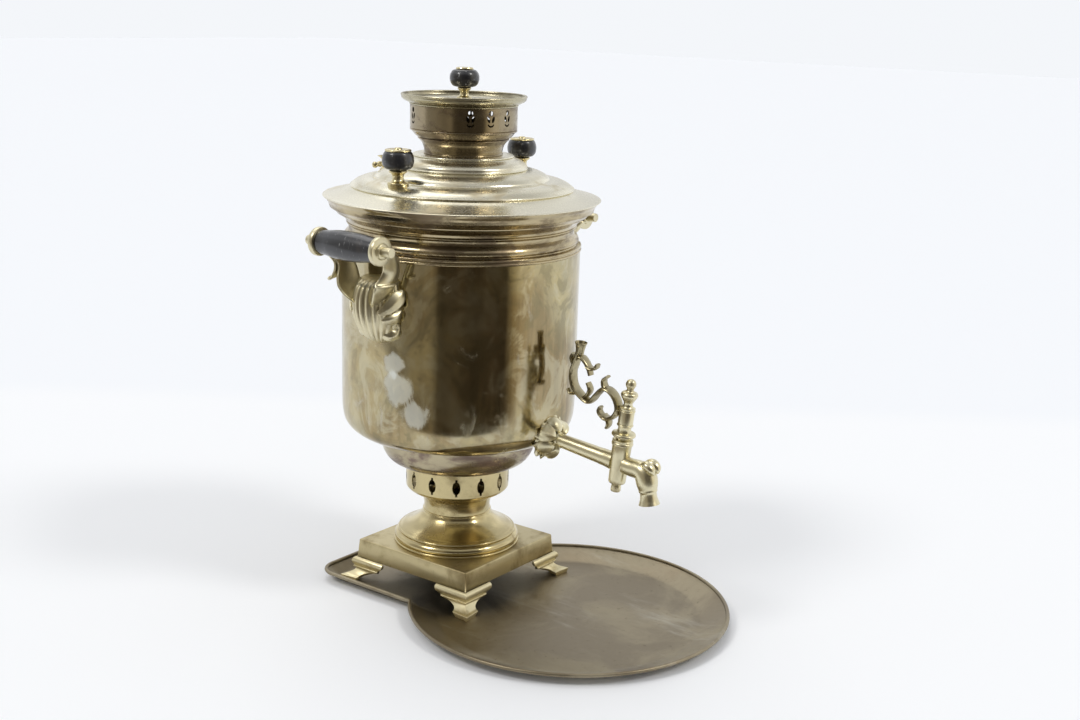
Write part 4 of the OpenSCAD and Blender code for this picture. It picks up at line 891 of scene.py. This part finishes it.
# ---------------------------------------------------------------- tap
# The tube leaves the body through a rosette of fat leaves and slopes down to
# a cast barrel. The spout bends down like a stylised animal's head, with two
# lumps for a brow. The tapered key turns in the barrel.
tap_brass = old_brass("tap_brass", (0.76, 0.70, 0.48), (0.55, 0.47, 0.29), 0.35, 0.03, 0.26, pits=0.2)
tap_height = 187.5 * mm
tap_slope = radians(6.4)
tap_turn = Matrix.Translation((0, 0, tap_height)) @ Matrix.Rotation(tap_slope, 4, "X")
along_tap = tap_turn @ Matrix.Rotation(radians(90), 4, "X")
key_at = 195.8
upright = tap_turn @ Matrix.Translation((0, -key_at * mm, 0))


def swept(line, radii, sides=28, oval=1.0):
    """Rings of points round a line in the tap's middle plane, in millimetres."""
    rings = []
    for before, here, after, radius in zip([line[0], *line], line, [*line[1:], line[-1]], radii):
        along = (after - before).normalized()
        up = along.cross(Vector((1, 0, 0))).normalized()
        ring = []
        for k in range(sides):
            a = 2 * pi * k / sides
            ring.append((here + Vector((oval, 0, 0)) * radius * cos(a) + up * radius * sin(a)) * mm)
        rings.append(ring)
    return rings


def capped(mesh, rings):
    """Joins rings of points into a closed skin."""
    rows_joined(mesh, rings, closed=True)
    bmesh.ops.holes_fill(mesh, edges=mesh.edges)
    bmesh.ops.recalc_face_normals(mesh, faces=mesh.faces)
    return mesh


tube_line = [(6.4, 96), (6.4, 123), (7.3, 123.6), (7.6, 124.8), (7.2, 126), (6.6, 126.8)]
tube_line += [(6.6 + 1.2 * k / 8, 127 + 56 * k / 8) for k in range(9)]
tube = turned(sheet_wall(tube_line, 2), 0, 56)
placed("tap_tube_turned", moved(tube, turn=along_tap), "urn", tap_brass, ["tap_tube"], 40)


def petal_rows(number, path, widths, curl, rib=0.0, across=8):
    """A leaf of the rosette along a path of (out from the tube, along the tube) millimetres."""
    swing = radians(90 + 360 * number / petals)
    way = Vector((cos(swing), sin(swing), 0))
    spine = [way * out + Vector((0, 0, along)) for out, along in path]
    return leaf(spine, widths, (0, 0, 1), curl, rib, across)


petals = 6
front_path = [(6.2, 125.6), (10, 126.4), (14.4, 124.6), (18.4, 120.4), (20.4, 115.0), (19.2, 109.6)]
back_path = [(10, 119), (16, 117.4), (20, 113), (20.6, 107.5)]
rosette_mesh = bmesh.new()
for number in range(petals):
    folded = 0.34 * (number % 2)
    rows_joined(rosette_mesh, petal_rows(number, front_path, (3.2, 5.8, 8.6, 9.8, 8.8, 4.8), 0.42, folded,
                                         10))
for number in range(petals):
    rows_joined(rosette_mesh, petal_rows(number + 0.5, back_path, (4.5, 7, 6.6, 2.6), 0.4))
bmesh.ops.recalc_face_normals(rosette_mesh, faces=rosette_mesh.faces)
rosette = placed("tap_rosette_casting", moved(rosette_mesh, turn=along_tap), "urn", tap_brass,
                 ["tap_rosette"], 60)
walled(rosette, 1.8 * mm, even=False)
rounded(rosette)

barrel_line = [(7.0, -19.6), (7.6, -19.4), (8.2, -18.4), (8.3, -14), (8.8, 6), (9.2, 17.6), (9.9, 18.4),
               (10.2, 19.6),
               (9.9, 20.8), (9.3, 21.4), (9.7, 22.2), (9.7, 23.2), (9.0, 23.8)]
lathed("tap_barrel", barrel_line, (0, 0, 0), "urn", tap_brass, 40, upright)
neck_mesh = capped(bmesh.new(), swept([Vector((0, -y, 0)) for y in (-20, -14, -10, -6)], (7.9, 8.0, 8.6, 8.8),
                                      40))
placed("tap_barrel_neck", moved(neck_mesh, turn=upright), "urn", tap_brass, (), 40)

# The spout's path runs along the tube's axis away from the key, and up from it.
spout_path = bowed([(0, 6, 0), (0, 14, 0), (0, 21, 0.5), (0, 26.6, -0.4), (0, 30.2, -4.0), (0, 32.4, -9.4),
                    (0, 34.0, -14.4), (0, 35.2, -18.4), (0, 36.6, -23.4), (0, 38.0, -28.4)], 5)
spout_path = [Vector((p.x, -p.y, p.z)) for p in spout_path]
spout_girth = eased((8.2, 8.5, 8.9, 9.8, 10.3, 10.1, 8.9, 7.8, 8.3, 10.0), 5)
# A raised band round the muzzle, where it meets the hoof-like mouth.
for number, place in enumerate(spout_path):
    if -17.4 < place.z < -15.6:
        spout_girth[number] += 0.5
spout_mesh = bmesh.new()
spout_skin = swept(spout_path, spout_girth, 40)
spout_inside = swept(spout_path[-8:], [min(g - 1.5, 8.2) for g in spout_girth[-8:]], 40)[::-1]
rows_joined(spout_mesh, spout_skin + spout_inside, closed=True)
bmesh.ops.holes_fill(spout_mesh, edges=spout_mesh.edges)
bmesh.ops.recalc_face_normals(spout_mesh, faces=spout_mesh.faces)
placed("tap_spout", moved(spout_mesh, turn=upright), "urn", tap_brass, (), 40)
for side in (-1, 1):
    brow_line = bowed([(side * 3.4, -25.5, 7.6), (side * 4.6, -29.5, 9.4), (side * 5.0, -34, 8.6),
                       (side * 4.8, -38, 5.4),
                       (side * 3.8, -40, 1.6)], 4)
    brow_size = eased((1.4, 3.4, 4.2, 3.4, 0.9), 4)
    brow = capped(bmesh.new(), swept(brow_line, brow_size, 24, 1.22))
    name = "tap_spout_brow_" + ("left" if side < 0 else "right")
    placed(name, moved(brow, turn=upright), "urn", tap_brass, (), 60)

stem = 23.8
key_line = [(6.2, -44), (6.4, 0), (6.7, 0.6), (6.7, 2.2), (8.6, 2.5)]
key_line += bowed([(9.6, 2.8), (11.1, 3.8), (11.3, 4.9), (10.7, 6.2), (8.4, 7.0), (6.6, 7.6)], 3)
key_line += [(6.2, 9.0), (6.1, 11.4), (6.6, 12.6)]
key_line += half_round(6.6, 14.1, 1.1) + [(7.1, 15.6), (7.2, 27.0)]
key_line += [*half_round(7.0, 28.2, 0.8), (6.9, 29.2), (7.4, 29.8), (7.4, 30.9), (6.4, 31.4)]
key_line += bowed([(4.8, 32.4), (4.2, 34.4), (4.6, 36.6), (6.4, 39.6), (7.8, 42.4), (8.0, 44.2), (7.0, 45.8),
                   (4.4, 46.8)], 4)
key_line += bowed([(3.4, 47.8), (3.2, 49.4), (4.0, 50.8), (4.9, 53.0), (4.8, 54.8), (3.6, 57.2), (1.6, 58.4)],
                  4)
key_turn = upright @ Matrix.Translation((0, 0, stem * mm))
lathed("tap_key", key_line, (0, 0, 0), "key", tap_brass, 40, key_turn)
nut_line = [(3.4, -28.4), (4.4, -28.2), (4.8, -27.2), (4.7, -24), (4.4, -21.4), (3.6, -20.4)]
lathed("tap_key_nut", nut_line, (0, 0, 0), "key", tap_brass, 40, upright)

# The scroll is a cast ribbon, bent in curls, with curled leaf tips that
# spring from it and a small trumpet at its free end.
scroll_brass = old_brass("scroll_brass", (0.42, 0.37, 0.23), (0.26, 0.22, 0.13), 0.4, 0.02, 0.24, pits=0.2)


def ribbon(mesh, path, half_wide, thick, tip=1.0):
    """A band along a path of (away from the key, up) millimetres with a raised middle and soft edges."""
    line = bowed(path, 6)
    rings = []
    last = len(line) - 1
    for number, (before, here, after) in enumerate(zip([line[0], *line], line, [*line[1:], line[-1]])):
        along = (after - before).normalized()
        up = Vector((-along.y, along.x))
        share = number / last
        slim = 1 - (1 - tip) * share ** 2
        wide, high = half_wide * slim, thick / 2 * (1 - 0.5 * (1 - slim))
        ring = []
        for side, rise in ((-1, 0), (-0.86, 0.8), (-0.5, 1), (0, 1.25), (0.5, 1), (0.86, 0.8), (1, 0),
                           (0.86, -0.8),
                           (0.5, -1), (0, -1.25), (-0.5, -1), (-0.86, -0.8)):
            spot = here + up * high * rise
            ring.append(Vector((side * wide, spot.x, spot.y)) * mm)
        rings.append(ring)
    capped(mesh, rings)


scroll_mesh = bmesh.new()
ribbon(scroll_mesh, [(60, 97), (60.4, 90), (62.6, 80), (64.4, 70), (60.6, 58), (50, 50.2), (40.6, 48.4),
                     (34.6, 57),
                     (28, 65), (20, 64.8), (12.6, 58.6), (9.4, 50), (13.2, 41.8), (20.4, 38), (25, 39.6)],
       6.1, 3.6)
ribbon(scroll_mesh, [(62.4, 83), (57.6, 87.6), (52, 84.8), (47.4, 79.6), (44.4, 73.0)], 5.6, 3.0, 0.7)
for bud in ([(25, 64.8), (28.4, 69), (29, 73.6), (25.4, 77.6)],
            [(49, 49.6), (44.4, 54), (42.8, 60), (46.4, 65.6)],
            [(54, 53.4), (59.4, 51), (63.6, 50.6), (67, 53.6)],
            [(62.6, 78), (66, 82), (67.4, 85.6), (66.2, 88.6)],
            [(49, 80.6), (44, 79.6), (39.8, 81.6), (38.4, 85.6)],
            [(20.4, 38.6), (17.8, 35.6), (17.4, 31.8), (19, 28.8)],
            [(22.4, 38.6), (26.8, 39.6), (29.6, 43), (28.8, 47)]):
    ribbon(scroll_mesh, bud, 5.2, 2.8, 0.72)
placed("tap_scroll_casting", moved(scroll_mesh, turn=upright), "key", scroll_brass,
       ["tap_scroll"], 50)
trumpet = [(3.4, -14), (3.8, -12.6), (3.9, -9), (4.3, -4), (5.0, -0.4), (5.8, 2.0), (6.1, 2.6), (5.8, 2.9),
           (4.8, 1.2),
           (3.8, -3), (2.2, -4)]
trumpet_at = upright @ Vector((0, 60 * mm, 98.4 * mm))
placed("tap_scroll_trumpet", moved(lathe(trumpet, 40), trumpet_at, tap_turn.to_3x3().to_4x4()), "key",
       scroll_brass, (), 50)
lug_mesh = bmesh.new()
bmesh.ops.create_cube(lug_mesh, size=1)
for corner in lug_mesh.verts:
    corner.co = (corner.co.x * 11 * mm, (8.2 + corner.co.y * 3.2) * mm, (48.2 + corner.co.z * 6) * mm)
bmesh.ops.bevel(lug_mesh, geom=lug_mesh.edges, offset=0.8 * mm, segments=2, affect="EDGES", profile=0.5,
                material=-1)
placed("tap_scroll_lug", moved(lug_mesh, turn=upright), "key", scroll_brass, (), 50)

# ---------------------------------------------------------------- fire tube
# Inside stand the fire tube, black with soot, and its iron grate.
# The nuts on the handle studs and on the tap's tube are hidden in the body.
sooty = Finish("sooty_brass", Metallic=0.6)
soot = sooty.cloud(0.03, 5, 0.7, (1, 1, 0.4), warp=0.5)
flakes = sooty.cloud(0.005, 4, 0.7)
burnt = sooty.blend(soot.between(0.4, 0.65), (0.20, 0.12, 0.07), (0.035, 0.03, 0.028))
sooty.set(Base_Color=sooty.blend(flakes.between(0.55, 0.7) * 0.6, burnt, (0.02, 0.018, 0.017)),
          Roughness=0.5 + 0.4 * soot)
sooty.relief(flakes, 0.3 * mm, 0.6)
iron = Finish("iron", Metallic=0.8)
rust = iron.cloud(0.012, 5, 0.7, warp=0.4)
sand = iron.cloud(0.002, 3, 0.6)
iron.set(Base_Color=iron.blend(rust.between(0.45, 0.7), (0.055, 0.052, 0.05), (0.16, 0.07, 0.035)),
         Roughness=0.6 + 0.25 * rust)
iron.relief(sand, 0.3 * mm, 0.6)
leather = Finish("leather", Roughness=0.7)
hide = leather.cloud(0.0015, 4, 0.6)
stain = leather.cloud(0.01, 3, 0.6)
leather.set(Base_Color=leather.blend(stain, (0.10, 0.045, 0.022), (0.045, 0.022, 0.014)),
            Roughness=0.6 + 0.25 * hide)
leather.relief(hide, 0.2 * mm, 0.6)
hidden = {"fire_tube": sooty, "grate": iron, "tap_washer": leather, "tap_nut": tap_brass}
for side in ("left", "right"):
    for level in ("low", "high"):
        hidden["handle_nut_" + level + "_" + side] = handle_brass
for node_name, finish in hidden.items():
    for slot in nodes[node_name].material_slots:
        slot.link = "OBJECT"
        slot.material = finish.material

# ---------------------------------------------------------------- studio
# A white paper floor under even light from all round, with two soft lamps
# above left and right of the camera. The polished metal mirrors a dim brown
# room behind the camera, white walls at the sides and a grey ceiling.
floor_mesh = bmesh.new()
bmesh.ops.create_grid(floor_mesh, x_segments=1, y_segments=1, size=14)
floor_data = bpy.data.meshes.new("floor")
floor_mesh.to_mesh(floor_data)
floor_mesh.free()
floor = bpy.data.objects.new("floor", floor_data)
bpy.context.scene.collection.objects.link(floor)
away = Vector((sin(-camera_heading), cos(-camera_heading), 0))
rightwards = Vector((away.y, -away.x, 0))
paper = Finish("paper", Roughness=0.9, Specular_IOR_Level=0.1)
floor_data.materials.append(paper.material)
# Behind the samovar the flat paper's colour is painted a little greyer and bluer: painted
# shade standing in for paper that bends up. Mirrored rays look past the table's near edge into the room.
behind = paper.node("ShaderNodeVectorMath", {"operation": "DOT_PRODUCT"}, {0: paper.point, 1: away}, "Value")
paper.set(Base_Color=paper.blend(behind.between(0.60, 0.72), (0.93, 0.94, 0.955), (0.90, 0.917, 0.945)))
mirrored = paper.node("ShaderNodeLightPath", {}, {}, "Is Glossy Ray")
nearer = paper.node("ShaderNodeVectorMath", {"operation": "DOT_PRODUCT"}, {0: paper.point, 1: -away}, "Value")
off_table = mirrored * nearer.between(0.47, 0.50)
clear = paper.node("ShaderNodeBsdfTransparent", {}, {})
solid = Tint(paper, paper.shader.outputs["BSDF"])
cut_paper = paper.node("ShaderNodeMixShader", {}, {0: off_table, 1: solid, 2: clear})
paper.tree.links.new(cut_paper.socket, paper.tree.nodes["Material Output"].inputs["Surface"])


def soft_lamp(name, compass, height, strength, size):
    """A far round lamp: degrees right of the camera, degrees above the floor, and its apparent size."""
    data = bpy.data.lights.new(name, "SUN")
    data.energy = strength
    data.angle = radians(size)
    data.color = (1, 0.985, 0.96)
    lamp = bpy.data.objects.new(name, data)
    level = rightwards * sin(radians(compass)) - away * cos(radians(compass))
    shining = -(level * cos(radians(height)) + Vector((0, 0, sin(radians(height)))))
    lamp.rotation_euler = shining.to_track_quat("-Z", "Y").to_euler()
    bpy.context.scene.collection.objects.link(lamp)


soft_lamp("lamp left", -62, 48, 0.75, 16)
soft_lamp("lamp right", 68, 44, 0.65, 14)
soft_lamp("lamp behind", 205, 62, 0.55, 40)


class Room(Finish):
    """The light of the world, made of the same kinds of node as a finish."""

    def __init__(self, name):
        world = bpy.data.worlds.new(name)
        world.use_nodes = True
        bpy.context.scene.world = world
        self.tree = world.node_tree


studio = Room("studio")
background = studio.tree.nodes["Background"]
background.inputs["Color"].default_value = (0.905, 0.925, 0.955, 1)
white = Tint(studio, background.outputs[0])
looking = studio.node("ShaderNodeTexCoord", {}, {}, "Generated")
aside = studio.node("ShaderNodeVectorMath", {"operation": "DOT_PRODUCT"}, {0: looking, 1: rightwards},
                    "Value")
backwards = studio.node("ShaderNodeVectorMath", {"operation": "DOT_PRODUCT"}, {0: looking, 1: -away}, "Value")
upwards = studio.node("ShaderNodeSeparateXYZ", {}, {0: looking}, "Z")
compass = studio.node("ShaderNodeMath", {"operation": "ARCTAN2"}, {0: aside, 1: backwards})
turn_share = studio.node("ShaderNodeMapRange", {}, {0: compass, 1: -pi, 2: pi})
# The walls of the room, by degrees to the right of the camera. The first two
# are the same place, behind the samovar.
pale = (0.95, 0.96, 0.98)
wall_shades = [
    (-180, pale), (180, pale),
    (-104, (0.90, 0.91, 0.93)), (-88, (0.42, 0.41, 0.38)), (-50, (0.30, 0.27, 0.22)),
               (-24, (0.34, 0.30, 0.23)),
    (-17, (0.085, 0.07, 0.05)), (48, (0.07, 0.058, 0.042)), (55, (0.62, 0.54, 0.38)), (70, (1.0, 0.95, 0.84)),
    (100, (0.80, 0.78, 0.74)), (112, pale),
]
stops = [((degrees_right + 180) / 360, shade) for degrees_right, shade in wall_shades]
walls = studio.node("ShaderNodeValToRGB", {"stops": stops}, {0: turn_share})
clutter_form = {"Vector": looking, "Scale": 3.4, "Detail": 4, "Roughness": 0.6}
clutter = studio.node("ShaderNodeTexNoise", {}, clutter_form)
uneven = studio.node("ShaderNodeMapRange", {}, {0: clutter, 1: 0.36, 2: 0.64, 3: 0.72, 4: 1.2})
furnished = studio.node("ShaderNodeVectorMath", {"operation": "SCALE"}, {0: walls, "Scale": uneven})
overhead = upwards.between(0.55, 0.82)
room = studio.blend(overhead, furnished, (0.50, 0.50, 0.50))
mirrored_room = studio.node("ShaderNodeBackground", {}, {"Color": room})
even_light = studio.node("ShaderNodeBackground", {}, {"Color": (0.56, 0.57, 0.59, 1)})
glossy_ray = studio.node("ShaderNodeLightPath", {}, {}, "Is Glossy Ray")
camera_ray = studio.node("ShaderNodeLightPath", {}, {}, "Is Camera Ray")
by_metal = studio.node("ShaderNodeMixShader", {}, {0: glossy_ray, 1: even_light, 2: mirrored_room})
by_camera = studio.node("ShaderNodeMixShader", {}, {0: camera_ray, 1: by_metal, 2: white})
studio.tree.links.new(by_camera.socket, studio.tree.nodes["World Output"].inputs["Surface"])
bpy.context.scene.view_settings.view_transform = "Standard"
